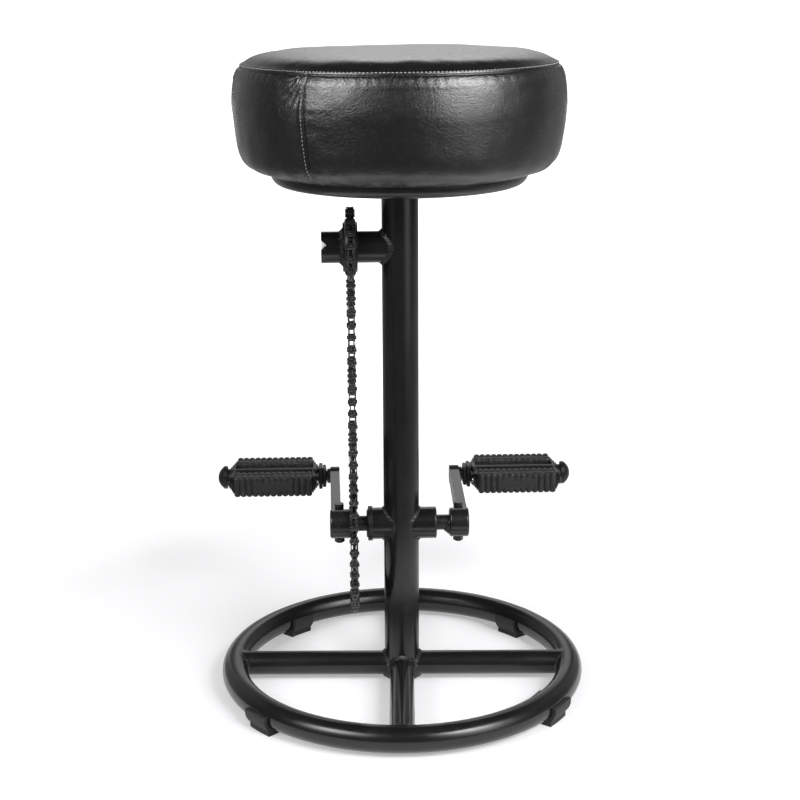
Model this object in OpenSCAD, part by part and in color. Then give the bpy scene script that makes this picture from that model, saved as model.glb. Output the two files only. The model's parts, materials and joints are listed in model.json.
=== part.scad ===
// Bar stool on a ring base: round leather cushion, tube post, and a bicycle
// crankset with two pedals as its footrest, held by a chain and a freewheel.
// Floor at z = 0, origin under the post, the pedals reach towards +Y.

/* [Base] */
// Centreline radius of the base ring
base_r = 179; // [150:1:210]
// Outer diameter of the ring tube
ring_d = 27.2; // [22:0.1:30]
// Outer diameter of the four spokes
spoke_d = 25.4; // [20:0.1:27]
// Wall of the ring and spoke tubes
base_wall = 2; // [1.5:0.1:3]
// Rubber under the ring tube
pad_below = 4.9; // [3:0.1:8]
// Rubber beside the ring tube
pad_side = 4.2; // [3:0.1:6]
// Length of a floor pad along the ring
pad_len = 30; // [20:1:45]
// Places of the four floor pads round the ring
pad_places = [43.5, 134, 221, 326.5]; // [0:0.5:360]
// Turn of the base about the post against the crank axle
base_turn = -2; // [-5:0.5:5]

/* [Post] */
// Outer diameter of the post
post_d = 37; // [34:0.1:42]
// Wall of the post, the stub and the bracket shell
post_wall = 2; // [1.5:0.1:2.5]
// Height of the post's top, where the seat pan is welded on, over the freewheel's axis
pan_over_stub = 64.5; // [58:0.1:90]

/* [Seat] */
// Outer radius of the seat pan
pan_r = 127.8; // [110:0.1:135]
// Height of the pan's rim over its underside
pan_h = 11.4; // [8:0.1:14]
// Sheet thickness of the pan
pan_t = 2.5; // [1.5:0.1:3]
// Radius of the top seam of the cushion
seam_r = 156.4; // [150:0.1:165]
// Largest radius of the cushion
cushion_r = 164; // [160:0.1:170]
// Height of the top seam over the cushion's underside
cushion_h = 103.9; // [90:0.1:125]
// Rise of the crown over the top seam
crown_h = 13.5; // [6:0.1:20]
// How flat the crown stays before it rounds off to its seam
crown_power = 9; // [3:0.5:12]
// Thickness of the leather
leather_t = 1.4; // [1:0.1:2]
// Thickness of the plywood board
board_t = 14; // [10:1:18]
// Radius of the circle of seat bolts
bolt_circle_r = 78; // [50:1:95]
// Diameter of a seat bolt
bolt_d = 6; // [5:0.5:8]

/* [Chain drive] */
// Pitch of the chain
pitch = 12.7; // [12:0.05:13]
// Diameter of a chain roller
roller_d = 7.75; // [7:0.05:8]
// Inner width of the chain
chain_w = 3.3; // [3.1:0.05:4]
// Thickness of a chain plate
plate_t = 1; // [0.8:0.05:1.2]
// Height of a chain plate
plate_h = 8.4; // [7.5:0.1:9]
// Teeth of the chainring on the crank
ring_teeth = 44; // [40:1:48]
// Teeth of the freewheel's sprocket
sprocket_teeth = 18; // [17:1:20]
// Links in each straight run of the chain
run_links = 23; // [22:1:25]
// Distance of the chain's plane from the post's axis
chain_x = 50; // [48:0.5:52]
// Thickness of the teeth
tooth_t = 2.9; // [2.5:0.05:3]

/* [Stub and freewheel] */
// Outer diameter of the stub tube
stub_d = 31.8; // [30:0.1:32.4]
// Reach of the stub from the post's axis
stub_reach = 79.2; // [72:0.1:95]
// Outer diameter of the freewheel's body
freewheel_d = 58; // [56:0.5:62]
// Width of the freewheel's body
freewheel_w = 14.8; // [13:0.1:17]

/* [Bottom bracket] */
// Height of the crank axle
bracket_z = 177.5; // [170:0.5:200]
// Outer diameter of the bracket shell
shell_d = 33; // [32:0.1:35]
// Reach of the bracket shell to the left of the post's axis
shell_reach_left = 30.4; // [28:0.1:32]
// Reach of the bracket shell to the right
shell_reach_right = 34.1; // [30:0.1:38]
// Diameter of the crank axle
axle_d = 16; // [15:0.1:16.5]
// Diameter of a bracket ball
bracket_ball_d = 4.76; // [4:0.01:5]

/* [Cranks] */
// Length of a crank between its two axes
crank_len = 165; // [150:1:175]
// Thickness of a crank arm
arm_t = 10.5; // [9:0.1:12]
// Distance of a crank's pedal end from the stool's middle
arm_reach = 75.7; // [75:0.1:80]
// How much nearer the right crank's pedal end is, as its boss has no chainring
right_inset = 4.2; // [0:0.1:6]
// Distance of the left boss's outer face from the stool's middle
boss_out_left = 74.9; // [74:0.1:76]
// Distance of the right boss's inner face
boss_in_right = 50.5; // [48:0.1:52]
// Distance of the right boss's outer face
boss_out_right = 70.7; // [69:0.1:72]
// Diameter of a crank boss
boss_d = 30.4; // [29:0.1:34]
// Diameter of a cotter pin
cotter_d = 9.5; // [8:0.1:10]

/* [Pedals] */
// Length of a rubber block
block_len = 87.4; // [70:0.1:100]
// Height of a rubber block
block_h = 24; // [20:0.5:28]
// Depth of a pedal over both blocks
pedal_depth = 80; // [74:0.5:90]
// Free gap between the two blocks
block_gap = 34; // [30:0.5:40]
// Ribs on a rubber block
rib_count = 13; // [9:1:15]
// Diameter of the pedal's barrel
barrel_d = 19.2; // [18.6:0.1:21]
// Diameter of the pedal's spindle
spindle_d = 9; // [8:0.1:9.4]
// Reach of the inner end plate from the blocks towards the crank
inner_plate_rise = 15.2; // [8:0.1:15.5]
// Reach of the outer end plate from the blocks
outer_plate_rise = 9.2; // [7:0.1:14]
// Height of an end plate
plate_h_pedal = 22; // [21.5:0.1:26]
// Length of the dust cap
cap_len = 10.6; // [8:0.1:12]

/* [Hidden] */
$fn = 64;

// Play of a seat that only rests, of a pressed seat and of a running one
rest_gap = 0.2;
press_gap = 0.02;
run_gap = 0.05;
// Extra length of a cut, so that it leaves no skin
cut = 1;

// Base
ring_z = pad_below + ring_d / 2;
post_r = post_d / 2;
post_foot = ring_z - spoke_d / 2 - 1;
vent_d = 8;
// Height of each weld over its tube, and its spread on the post
spoke_weld = 1.8;
stub_weld = 3.4;
shell_weld = 2;
weld_reach = 4;
pad_foot_w = 24;
pad_lip = 3;

// Chain drive, in the plane of the chain: [y, z] about the crank axle
roller_r = roller_d / 2;
ring_step = 360 / ring_teeth;
sprocket_step = 360 / sprocket_teeth;
ring_pitch_r = pitch / 2 / sin(ring_step / 2);
sprocket_pitch_r = pitch / 2 / sin(sprocket_step / 2);
lean = asin((ring_pitch_r - sprocket_pitch_r) / (run_links * pitch));
// Links on each wheel, with an even number in the whole chain
sprocket_wrap = round((180 - 2 * lean) / sprocket_step);
ring_wrap = sprocket_wrap + 2 * round(((180 + 2 * lean) / ring_step - sprocket_wrap) / 2);
ring_half = ring_wrap * ring_step / 2;
sprocket_half = sprocket_wrap * sprocket_step / 2;
ring_end = ring_pitch_r * [sin(ring_half), -cos(ring_half)];
sprocket_end = sprocket_pitch_r * [sin(sprocket_half), cos(sprocket_half)];
run_rise = sqrt(pow(run_links * pitch, 2) - pow(ring_end[0] - sprocket_end[0], 2));
centre_distance = ring_end[1] + run_rise - sprocket_end[1];
stub_z = bracket_z + centre_distance;
post_top = stub_z + pan_over_stub;
seat_play = 0.08;
tooth_rise = 3;
flank = 19;
chain_pin_r = 1.8;
bush_r = 2.6;
inner_plate_x = chain_w / 2;
outer_plate_x = inner_plate_x + plate_t + 0.1;
chain_pin_half = outer_plate_x + plate_t + 1.1;

// Seat, from the pan upwards
board_r = pan_r + rest_gap;
rim_z = post_top + pan_h;
hem_z = rim_z + rest_gap;
board_z = hem_z + leather_t + rest_gap;
hem_r = 104;
cloth_t = 0.6;
cloth_z = board_z - rest_gap - cloth_t;
seam_z = hem_z + cushion_h;
board_top = board_z + board_t;
bolt_head_h = 4;
bolt_head_r = bolt_d * 0.92;
tee_flange_r = 9;
tee_flange_t = 1.5;
tee_barrel_r = bolt_d / 2 + 1.4;
bolt_end_in = 1;
tee_nut_len = board_t - 2;
spacer_r = bolt_d / 2 + 4;
hole_play = 0.3;

// Stub and freewheel, measured outwards from the post
stub_r = stub_d / 2;
notch_w = 10;
notch_deep = 5.5;
notch_turn = 18;
sprocket_inset = 7.2;
freewheel_in = chain_x - sprocket_inset;
freewheel_out = freewheel_in + freewheel_w;
stub_play = 0.6;
core_wall = 5;
core_bore_r = stub_r + stub_play;
core_r = core_bore_r + core_wall;
freewheel_ball_d = 3.2;
ball_row_r = core_r + freewheel_ball_d / 2 + run_gap;
race_r = ball_row_r + freewheel_ball_d / 2 + run_gap;
lock_plate_t = 2;
lock_plate_r = race_r - stub_play;
lock_hole_r = 1.2;
row_inset = 2.2;
ball_rows = [freewheel_in + freewheel_ball_d, freewheel_out - lock_plate_t - row_inset];
bead_w = 3.1;
ring_round = 1.2;
pawl_w = 3;
pawl_len = 8;
pawl_tail = 3;
pawl_h = 4;
pawl_deep = 2.2;
pawl_play = 0.15;

// Bottom bracket, along X
shell_r = shell_d / 2;
shell_left = -shell_reach_left;
shell_right = shell_reach_right;
shell_bore_r = shell_r - 1.7;
shell_round = 1.5;
cup_r = shell_bore_r - run_gap;
axle_r = axle_d / 2;
bracket_ball_row_r = axle_r + bracket_ball_d / 2 + run_gap;
cup_race_r = bracket_ball_row_r + bracket_ball_d / 2 + run_gap;
cup_deep = 10;
cup_face = 4.1;
cup_mouth_r = axle_r + 1.2;
cup_flange_t = 2.6;
lockring_r = 18.2;
lockring_t = 4.7;
lockring_round = 0.8;
lock_slot_w = 4;
lock_slot_deep = 1.2;
cup_proud = 1.4;
cup_chamfer = 0.5;
cup_hole_r = 1;
cup_hole_deep = 1.6;
shoulder_r = axle_r + 1.6;
race_play = 0.12;

// Cranks
boss_r = boss_d / 2;
boss_play = 0.05;
left_boss = [chain_x + tooth_t / 2 + boss_play, boss_out_left];
right_boss = [boss_in_right, boss_out_right];
boss_round = 2.2;
chain_seat_len = tooth_t + 0.6;
neck_len = 8;
neck_lean = 20;
neck_r = axle_r + 1.2;
neck_start = 0.6;
chain_seat_r = boss_r - 2;
eye_r = 10.5;
thread_r = 7.15;
arm_start_h = 23;
arm_end_h = 16;
boss_arm_drop = 1;
cotter_r = cotter_d / 2;
cotter_bite = 2.6;
cotter_y = axle_r + cotter_r - cotter_bite;
cotter_proud = 6.5;
cotter_off_left = 2;
cotter_thread_r = 3;
cotter_nut_r = 5.3;
cotter_nut_h = 6;
cotter_top = boss_r - 2.7;
cotter_foot = boss_r + 2;
cotter_foot_r = cotter_nut_r + 0.9;
web_hole_r = 21;
web_hole_row_r = 50;
web_holes = 5;

// Pedals, in the pedal's own frame: +x outwards, the spindle on the x axis
spindle_flange_r = 8.4;
spindle_flange_t = 3.6;
pedal_play = 1;
barrel_proud = 0.5;
barrel_in = arm_reach + spindle_flange_t + pedal_play;
block_in = barrel_in + barrel_proud + inner_plate_rise + rest_gap;
block_out = block_in + block_len;
plate_steps = 5;
plate_edge_t = 2.4;
plate_half = pedal_depth / 2 - 4;
nose_half = 12;
rib_pitch = block_len / rib_count;
rib_w = rib_pitch * 0.64;
rib_deep = 1.5;
rod_r = 2.5;
rod_y = block_gap / 2 + (pedal_depth - block_gap) / 4;
rod_nut_r = 4.6;
rod_nut_t = 3;
nut_play = 0.6;
barrel_r = barrel_d / 2;
barrel_out = block_out + rest_gap + outer_plate_rise + barrel_proud - rest_gap;
pedal_ball_d = 3.17;
spindle_r = spindle_d / 2;
pedal_ball_row_r = spindle_r + pedal_ball_d / 2 + run_gap;
pedal_race_r = pedal_ball_row_r + pedal_ball_d / 2 + run_gap;
race_deep = pedal_ball_d + 2 * race_play;
cone_inset = 2;
inner_ball_x = barrel_in + cone_inset + race_deep / 2;
outer_ball_x = barrel_out - cone_inset - race_deep / 2;
barrel_bore_r = spindle_r + 1.2;
cone_r = spindle_r + 2.4;
cone_len = 2.4;
spindle_collar_r = spindle_r + 1.4;
cap_r = 13;
cap_wall = 3;
cap_rim = 4;
// The dome starts a little inside the rim and is a cap of a sphere
cap_ledge = 0.6;
cap_dome_base = cap_r - cap_ledge;
cap_dome_h = cap_len - cap_rim;
cap_dome_r = (pow(cap_dome_base, 2) + pow(cap_dome_h, 2)) / (2 * cap_dome_h);

// Lays a shape drawn in the plane of Y and Z, extruded from x upwards
module at_x(x) {
    translate([x, 0, 0]) rotate([90, 0, 90]) children();
}

// A round bar along X from one place to another
module bar_x(from, to, r, r2 = -1) {
    at_x(from) cylinder(h = to - from, r1 = r, r2 = r2 < 0 ? r : r2);
}

// A round bar along X with both rims rounded
module rounded_bar_x(from, to, r, rim) {
    rotate([0, 90, 0]) rotate_extrude() {
        translate([0, from + rim]) square([r, to - from - 2 * rim]);
        translate([0, from]) square([r - rim, to - from]);
        for (x = [from + rim, to - rim]) translate([r - rim, x]) circle(r = rim, $fn = 32);
    }
}

// A turned part about X: profile is a list of [x, radius]
module turned_x(profile) {
    rotate([0, 90, 0]) rotate_extrude() polygon([for (p = profile) [p[1], p[0]]]);
}

// A row of balls about X
module ball_row(x, row_r, ball_d, count) {
    for (i = [0 : count - 1])
        rotate([i * 360 / count, 0, 0]) translate([x, row_r, 0]) sphere(d = ball_d, $fn = 24);
}

// Curve through a list of points, with the given steps between two of them
function spline_point(a, b, c, d, t) =
    0.5 * (2 * b + (c - a) * t + (2 * a - 5 * b + 4 * c - d) * t * t
        + (3 * b - a - 3 * c + d) * t * t * t);
function spline(p, steps) = concat(
    [for (i = [0 : len(p) - 2], s = [0 : steps - 1])
        spline_point(p[max(i - 1, 0)], p[i], p[i + 1], p[min(i + 2, len(p) - 1)], s / steps)],
    [p[len(p) - 1]]);
// The same curve moved to its left by a distance
function unit(v) = v / norm(v);
function tangent(p, i) = unit(p[min(i + 1, len(p) - 1)] - p[max(i - 1, 0)]);
function moved_in(p, by) = [for (i = [0 : len(p) - 1])
    p[i] + by * [-tangent(p, i)[1], tangent(p, i)[0]]];
function reversed(p) = [for (i = [len(p) - 1 : -1 : 0]) p[i]];

// Base

module ring_solid(play = 0) {
    translate([0, 0, ring_z]) rotate_extrude($fn = 128)
        translate([base_r, 0]) circle(r = ring_d / 2 + play);
}

module base_ring() {
    color("#1b1b1c") difference() {
        ring_solid();
        ring_solid(-base_wall);
        for (a = [0 : 90 : 270])
            rotate([0, 0, a + base_turn]) translate([base_r - ring_d, 0, ring_z])
                rotate([0, 90, 0]) cylinder(h = ring_d, d = vent_d);
    }
}

module spoke(angle) {
    color("#1b1b1c") rotate([0, 0, angle + base_turn]) difference() {
        translate([0, 0, ring_z]) bar_x(0, base_r, spoke_d / 2);
        translate([0, 0, ring_z]) bar_x(0, base_r + cut, spoke_d / 2 - base_wall);
        translate([0, 0, -cut]) cylinder(h = post_top, r = post_r + press_gap);
        ring_solid(press_gap);
    }
}

module floor_pad(place) {
    clip_r = ring_d / 2 + pad_side;
    spread = pad_len / base_r * 180 / PI;
    start = pad_places[place] + base_turn - spread / 2;
    color("#141414") rotate([0, 0, start]) rotate_extrude(angle = spread, $fn = 128)
        translate([base_r, 0]) difference() {
            union() {
                intersection() {
                    translate([0, ring_z]) circle(r = clip_r);
                    translate([-clip_r, 0]) square([2 * clip_r, ring_z + pad_lip]);
                }
                translate([-pad_foot_w / 2, 0]) square([pad_foot_w, ring_z]);
            }
            translate([0, ring_z]) circle(r = ring_d / 2 + rest_gap / 2);
        }
}

module post() {
    color("#1b1b1c") difference() {
        translate([0, 0, post_foot]) cylinder(h = post_top - post_foot, r = post_r);
        translate([0, 0, post_foot - cut])
            cylinder(h = post_top - post_foot + 2 * cut, r = post_r - post_wall);
        translate([0, 0, bracket_z]) bar_x(-post_r - cut, post_r + cut, shell_r + press_gap);
    }
}

// A weld collar round a tube along X that meets the post
module weld_collar(r, size, reach) {
    toe = 0.6 * size;
    difference() {
        turned_x([[0, r + run_gap], [reach, r + run_gap], [reach - toe, r + 0.75 * size],
            [reach - toe - size, r + size], [0, r + size]]);
        translate([0, 0, -2 * post_d]) cylinder(h = 4 * post_d, r = post_r + run_gap);
    }
}

// Puts a shape about the X axis on each spoke
module at_spokes() {
    for (a = [0 : 90 : 270]) rotate([0, 0, a + base_turn]) translate([0, 0, ring_z]) children();
}

module weld_beads() {
    spoke_r = spoke_d / 2;
    ring_in = base_r - ring_d / 2;
    bead_out = -freewheel_out - bead_w;
    color("#232324") {
        // Spokes on the post, where each weld ends at the spokes beside it
        difference() {
            at_spokes() weld_collar(spoke_r, spoke_weld, post_r + weld_reach);
            at_spokes() bar_x(0, base_r, spoke_r + 2 * run_gap);
        }
        // Spokes on the ring
        difference() {
            at_spokes() turned_x([
                [ring_in - weld_reach, spoke_r + run_gap],
                [ring_in - weld_reach + 1, spoke_r + 0.6 * spoke_weld],
                [ring_in, spoke_r + 0.8 * spoke_weld],
                [base_r, spoke_r + 0.8 * spoke_weld], [base_r, spoke_r + run_gap]]);
            ring_solid(run_gap);
        }
        // Stub and bracket shell on the post
        translate([0, 0, stub_z]) rotate([0, 0, 180])
            weld_collar(stub_r, stub_weld, post_r + weld_reach + 1);
        translate([0, 0, bracket_z]) for (a = [0, 180])
            rotate([0, 0, a]) weld_collar(shell_r, shell_weld, post_r + weld_reach);
        // Freewheel on the stub
        translate([0, 0, stub_z]) turned_x([
            [bead_out, stub_r + press_gap], [bead_out, stub_r + bead_w / 2],
            [bead_out + 0.4 * bead_w, stub_r + bead_w], [-freewheel_out - press_gap, stub_r + bead_w],
            [-freewheel_out - press_gap, stub_r + press_gap]]);
        // Post under the seat pan
        translate([0, 0, post_top]) rotate_extrude() polygon([
            [post_r + press_gap, -press_gap], [post_r + weld_reach, -press_gap],
            [post_r + weld_reach / 2, -weld_reach / 2], [post_r + press_gap, -weld_reach]]);
    }
}

// Seat

module seat_bolt_places() {
    for (a = [45 : 90 : 315]) rotate([0, 0, a]) translate([bolt_circle_r, 0, 0]) children();
}

module seat_pan() {
    bend = pan_h;
    color("#1b1b1c") difference() {
        translate([0, 0, post_top]) rotate_extrude($fn = 128) difference() {
            union() {
                square([pan_r - bend, pan_t]);
                translate([pan_r - bend, bend]) intersection() {
                    circle(r = bend);
                    translate([0, -bend]) square([bend, bend]);
                }
            }
            translate([0, pan_t]) square([pan_r - bend, bend]);
            translate([pan_r - bend, bend]) circle(r = bend - pan_t);
        }
        seat_bolt_places() translate([0, 0, post_top - cut])
            cylinder(h = pan_t + 2 * cut, r = bolt_d / 2 + hole_play);
    }
}

module seat_bolts() {
    color("#3a3a3c") seat_bolt_places() {
        translate([0, 0, post_top - bolt_head_h - press_gap])
            cylinder(h = bolt_head_h, r = bolt_head_r, $fn = 6);
        translate([0, 0, post_top - bolt_head_h])
            cylinder(h = board_top - post_top + bolt_head_h - bolt_end_in, d = bolt_d);
    }
}

module seat_spacers() {
    color("#77787a") seat_bolt_places() difference() {
        translate([0, 0, post_top + pan_t + press_gap])
            cylinder(h = cloth_z - post_top - pan_t - 2 * press_gap, r = spacer_r);
        translate([0, 0, post_top]) cylinder(h = pan_h + 2 * cut, r = bolt_d / 2 + hole_play);
    }
}

module tee_nuts() {
    color("#8a8b8d") seat_bolt_places() difference() {
        union() {
            translate([0, 0, board_top - tee_nut_len]) cylinder(h = tee_nut_len, r = tee_barrel_r);
            translate([0, 0, board_top - tee_flange_t]) cylinder(h = tee_flange_t, r = tee_flange_r);
        }
        translate([0, 0, board_z]) cylinder(h = board_t + cut, r = bolt_d / 2 + run_gap);
    }
}

module dust_cloth() {
    color("#0e0e0f") difference() {
        translate([0, 0, cloth_z]) cylinder(h = cloth_t, r = hem_r - rest_gap, $fn = 128);
        seat_bolt_places() translate([0, 0, cloth_z - cut])
            cylinder(h = cloth_t + 2 * cut, r = bolt_d / 2 + hole_play);
    }
}

module seat_board() {
    color("#b08d5e") difference() {
        translate([0, 0, board_z]) cylinder(h = board_t, r = board_r, $fn = 128);
        seat_bolt_places() {
            translate([0, 0, board_z - cut]) cylinder(h = board_t + 2 * cut, r = tee_barrel_r + run_gap);
            translate([0, 0, board_top - tee_flange_t - run_gap])
                cylinder(h = tee_flange_t + cut, r = tee_flange_r + run_gap);
        }
    }
}

// Outline of the leather from its hem under the board up to the top seam
band_curve = concat([[hem_r, hem_z]], spline([
    [board_r + 2, hem_z], [cushion_r - 15, hem_z + 0.074 * cushion_h],
    [cushion_r - 5.5, hem_z + 0.217 * cushion_h], [cushion_r - 0.6, hem_z + 0.542 * cushion_h],
    [cushion_r, hem_z + 0.715 * cushion_h],
    [seam_r + 0.6 * (cushion_r - seam_r), hem_z + 0.917 * cushion_h], [seam_r, seam_z]], 5));
// Outline of the top panel from the seam to the middle of the crown
crown_steps = 16;
function crown_z(r) = seam_z + crown_h * (1 - pow(r / seam_r, crown_power));
crown_curve = [for (i = [0 : crown_steps]) let (r = seam_r * (1 - pow(i / crown_steps, 1.4)))
    [r, crown_z(r)]];
outer_curve = concat(band_curve, [for (i = [1 : crown_steps]) crown_curve[i]]);
inner_curve = moved_in(outer_curve, leather_t);
foam_curve = moved_in(outer_curve, leather_t + rest_gap);
seam_index = len(band_curve) - 1;
last_index = len(outer_curve) - 1;

module seat_foam() {
    color("#d8cfa8") rotate_extrude($fn = 128) difference() {
        polygon(concat([for (i = [2 : last_index - 1]) foam_curve[i]],
            [[0, foam_curve[last_index][1]], [0, board_top + rest_gap], [board_r, board_top + rest_gap]]));
        translate([-cut, 0]) square([board_r + rest_gap + cut, board_top + rest_gap]);
    }
}

module cover_side_band() {
    color("#121213") rotate_extrude($fn = 128) polygon(concat(band_curve,
        reversed([for (i = [0 : seam_index]) inner_curve[i]])));
}

module cover_top_panel() {
    color("#161617") rotate_extrude($fn = 128) polygon(concat(
        [for (i = [seam_index : last_index - 1]) outer_curve[i]],
        [[0, outer_curve[last_index][1]], [0, inner_curve[last_index][1]]],
        reversed([for (i = [seam_index : last_index - 1]) inner_curve[i]])));
}

// Chain wheels

// Toothed disc, with a gap for a roller at the angle "first" from the +y axis
module toothed_disc(teeth, pitch_r, first) {
    deep = tooth_rise + 1;
    seat = roller_r + seat_play;
    difference() {
        circle(r = pitch_r + tooth_rise, $fn = 128);
        for (i = [0 : teeth - 1]) rotate(first + i * 360 / teeth) translate([0, pitch_r]) {
            circle(r = seat, $fn = 24);
            polygon([[-seat, 0], [seat, 0],
                [seat + deep * tan(flank), deep], [-seat - deep * tan(flank), deep]]);
        }
    }
}

module chainring() {
    color("#19191a") translate([0, 0, bracket_z]) at_x(-chain_x - tooth_t / 2)
        linear_extrude(tooth_t) difference() {
            toothed_disc(ring_teeth, ring_pitch_r, 180 + ring_half);
            circle(r = chain_seat_r + press_gap);
            for (i = [0 : web_holes - 1]) rotate(36 + i * 360 / web_holes)
                translate([0, web_hole_row_r]) circle(r = web_hole_r);
        }
}

module stub_tube() {
    mouth = notch_w / 2 * (1 + cut / notch_deep);
    color("#1b1b1c") difference() {
        translate([0, 0, stub_z]) bar_x(-stub_reach, 0, stub_r);
        translate([0, 0, stub_z]) bar_x(-stub_reach - cut, cut, stub_r - post_wall);
        cylinder(h = 2 * stub_z, r = post_r + press_gap);
        // Notch in the front wall at the open end, a little above its middle
        translate([-stub_reach, 0, stub_z]) rotate([90 - notch_turn, 0, 0])
            linear_extrude(stub_d) polygon([[-cut, -mouth], [notch_deep, 0], [-cut, mouth]]);
    }
}

module freewheel_core() {
    color("#2b2b2d") translate([0, 0, stub_z]) difference() {
        bar_x(-freewheel_out + lock_plate_t + press_gap, -freewheel_in, core_r);
        bar_x(-freewheel_out, 0, core_bore_r);
        for (a = [0, 180]) rotate([a, 0, 0]) pawl_space(pawl_play);
    }
}

// Space of one folded pawl between the two rows of balls
module pawl_space(play) {
    middle = (ball_rows[0] + ball_rows[1]) / 2;
    translate([-middle - pawl_w / 2 - play, -pawl_tail - play, core_r - pawl_deep - play])
        cube([pawl_w + 2 * play, pawl_len + 2 * play, pawl_h + play]);
}

module freewheel_pawls() {
    color("#6c6d70") translate([0, 0, stub_z]) for (a = [0, 180]) rotate([a, 0, 0])
        intersection() {
            pawl_space(0);
            bar_x(-freewheel_out, 0, core_r + 1);
        }
}

module freewheel_lock_plate() {
    color("#2b2b2d") translate([0, 0, stub_z]) difference() {
        bar_x(-freewheel_out, -freewheel_out + lock_plate_t, lock_plate_r);
        bar_x(-freewheel_out - cut, 0, core_bore_r);
        for (a = [0, 180]) rotate([a, 0, 0]) translate([-freewheel_out, 0, core_bore_r + core_wall / 2])
            bar_x(-cut, lock_plate_t + cut, lock_hole_r);
    }
}

module freewheel_balls() {
    color("#b9bbbe") translate([0, 0, stub_z])
        for (x = ball_rows) ball_row(-x, ball_row_r, freewheel_ball_d, 36);
}

module freewheel_ring() {
    color("#202022") translate([0, 0, stub_z]) difference() {
        union() {
            rounded_bar_x(-freewheel_out + 2 * rest_gap, -freewheel_in - rest_gap, freewheel_d / 2,
                ring_round);
            at_x(-chain_x - tooth_t / 2) linear_extrude(tooth_t)
                toothed_disc(sprocket_teeth, sprocket_pitch_r, sprocket_half);
        }
        bar_x(-freewheel_out, 0, race_r);
    }
}

// Bottom bracket

module bracket_shell() {
    color("#1b1b1c") translate([0, 0, bracket_z]) difference() {
        bar_x(shell_left, shell_right, shell_r);
        bar_x(shell_left - cut, shell_right + cut, shell_bore_r);
    }
}

// A cup seen from its outer face: side is 1 on the right and -1 on the left
function cup_profile(side, face, flange_from, flange_to, flange_rad) = [
    [side * (face - cup_deep), cup_race_r], [side * (face - cup_deep), cup_r],
    [side * flange_from, cup_r], [side * flange_from, flange_rad],
    [side * flange_to, flange_rad], [side * flange_to, cup_mouth_r],
    [side * (face - cup_face), cup_mouth_r], [side * (face - cup_face), cup_race_r]];

module fixed_cup() {
    out = shell_right + cup_flange_t;
    color("#333335") translate([0, 0, bracket_z]) intersection() {
        turned_x(cup_profile(1, shell_right, shell_right + press_gap, out, shell_r));
        rounded_bar_x(shell_right - shell_reach_right, out, shell_r, shell_round);
    }
}

module adjustable_cup() {
    end = -shell_left + lockring_t + cup_proud;
    color("#333335") translate([0, 0, bracket_z]) difference() {
        turned_x(cup_profile(-1, -shell_left, end - cup_chamfer, end, cup_r - cup_chamfer));
        for (a = [0 : 60 : 300]) rotate([a, 0, 0]) translate([0, 0, (cup_r + cup_mouth_r) / 2])
            bar_x(-end - cut, -end + cup_hole_deep, cup_hole_r);
    }
}

module cup_lockring() {
    color("#2a2a2c") translate([0, 0, bracket_z]) difference() {
        rounded_bar_x(shell_left - lockring_t, shell_left - press_gap, lockring_r, lockring_round);
        bar_x(shell_left - lockring_t - cut, shell_left + cut, cup_r + press_gap);
        for (a = [0 : 60 : 300]) rotate([a, 0, 0])
            translate([shell_left - lockring_t - cut, -lock_slot_w / 2, lockring_r - lock_slot_deep])
                cube([lockring_t + 2 * cut, lock_slot_w, 2 * lock_slot_deep]);
    }
}

right_ball_x = shell_right - cup_face - bracket_ball_d / 2 - race_play;
left_ball_x = shell_left + cup_face + bracket_ball_d / 2 + race_play;

module bracket_balls() {
    color("#b9bbbe") translate([0, 0, bracket_z])
        for (x = [left_ball_x, right_ball_x]) ball_row(x, bracket_ball_row_r, bracket_ball_d, 12);
}

module cotter_hole(boss, play) {
    translate([boss, cotter_y, bracket_z - 2 * boss_r]) cylinder(h = 4 * boss_r, r = cotter_r + play);
}

left_cotter_x = -(left_boss[0] + left_boss[1]) / 2 - cotter_off_left;
right_cotter_x = (right_boss[0] + right_boss[1]) / 2;

module bracket_axle() {
    shoulder = bracket_ball_d / 2 + race_play;
    color("#4a4a4d") difference() {
        translate([0, 0, bracket_z]) {
            bar_x(-left_boss[1] + 1, right_boss[1] - 1, axle_r);
            bar_x(left_ball_x + shoulder, right_ball_x - shoulder, shoulder_r);
        }
        for (x = [left_cotter_x, right_cotter_x]) cotter_hole(x, press_gap);
    }
}

// Neck of a boss: a cone that leans, so that it widens below and stays level above
module neck() {
    rotate([0, 90 + neck_lean, 0])
        cylinder(h = neck_len, r1 = neck_r, r2 = neck_r + neck_len * tan(neck_lean));
}

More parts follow.
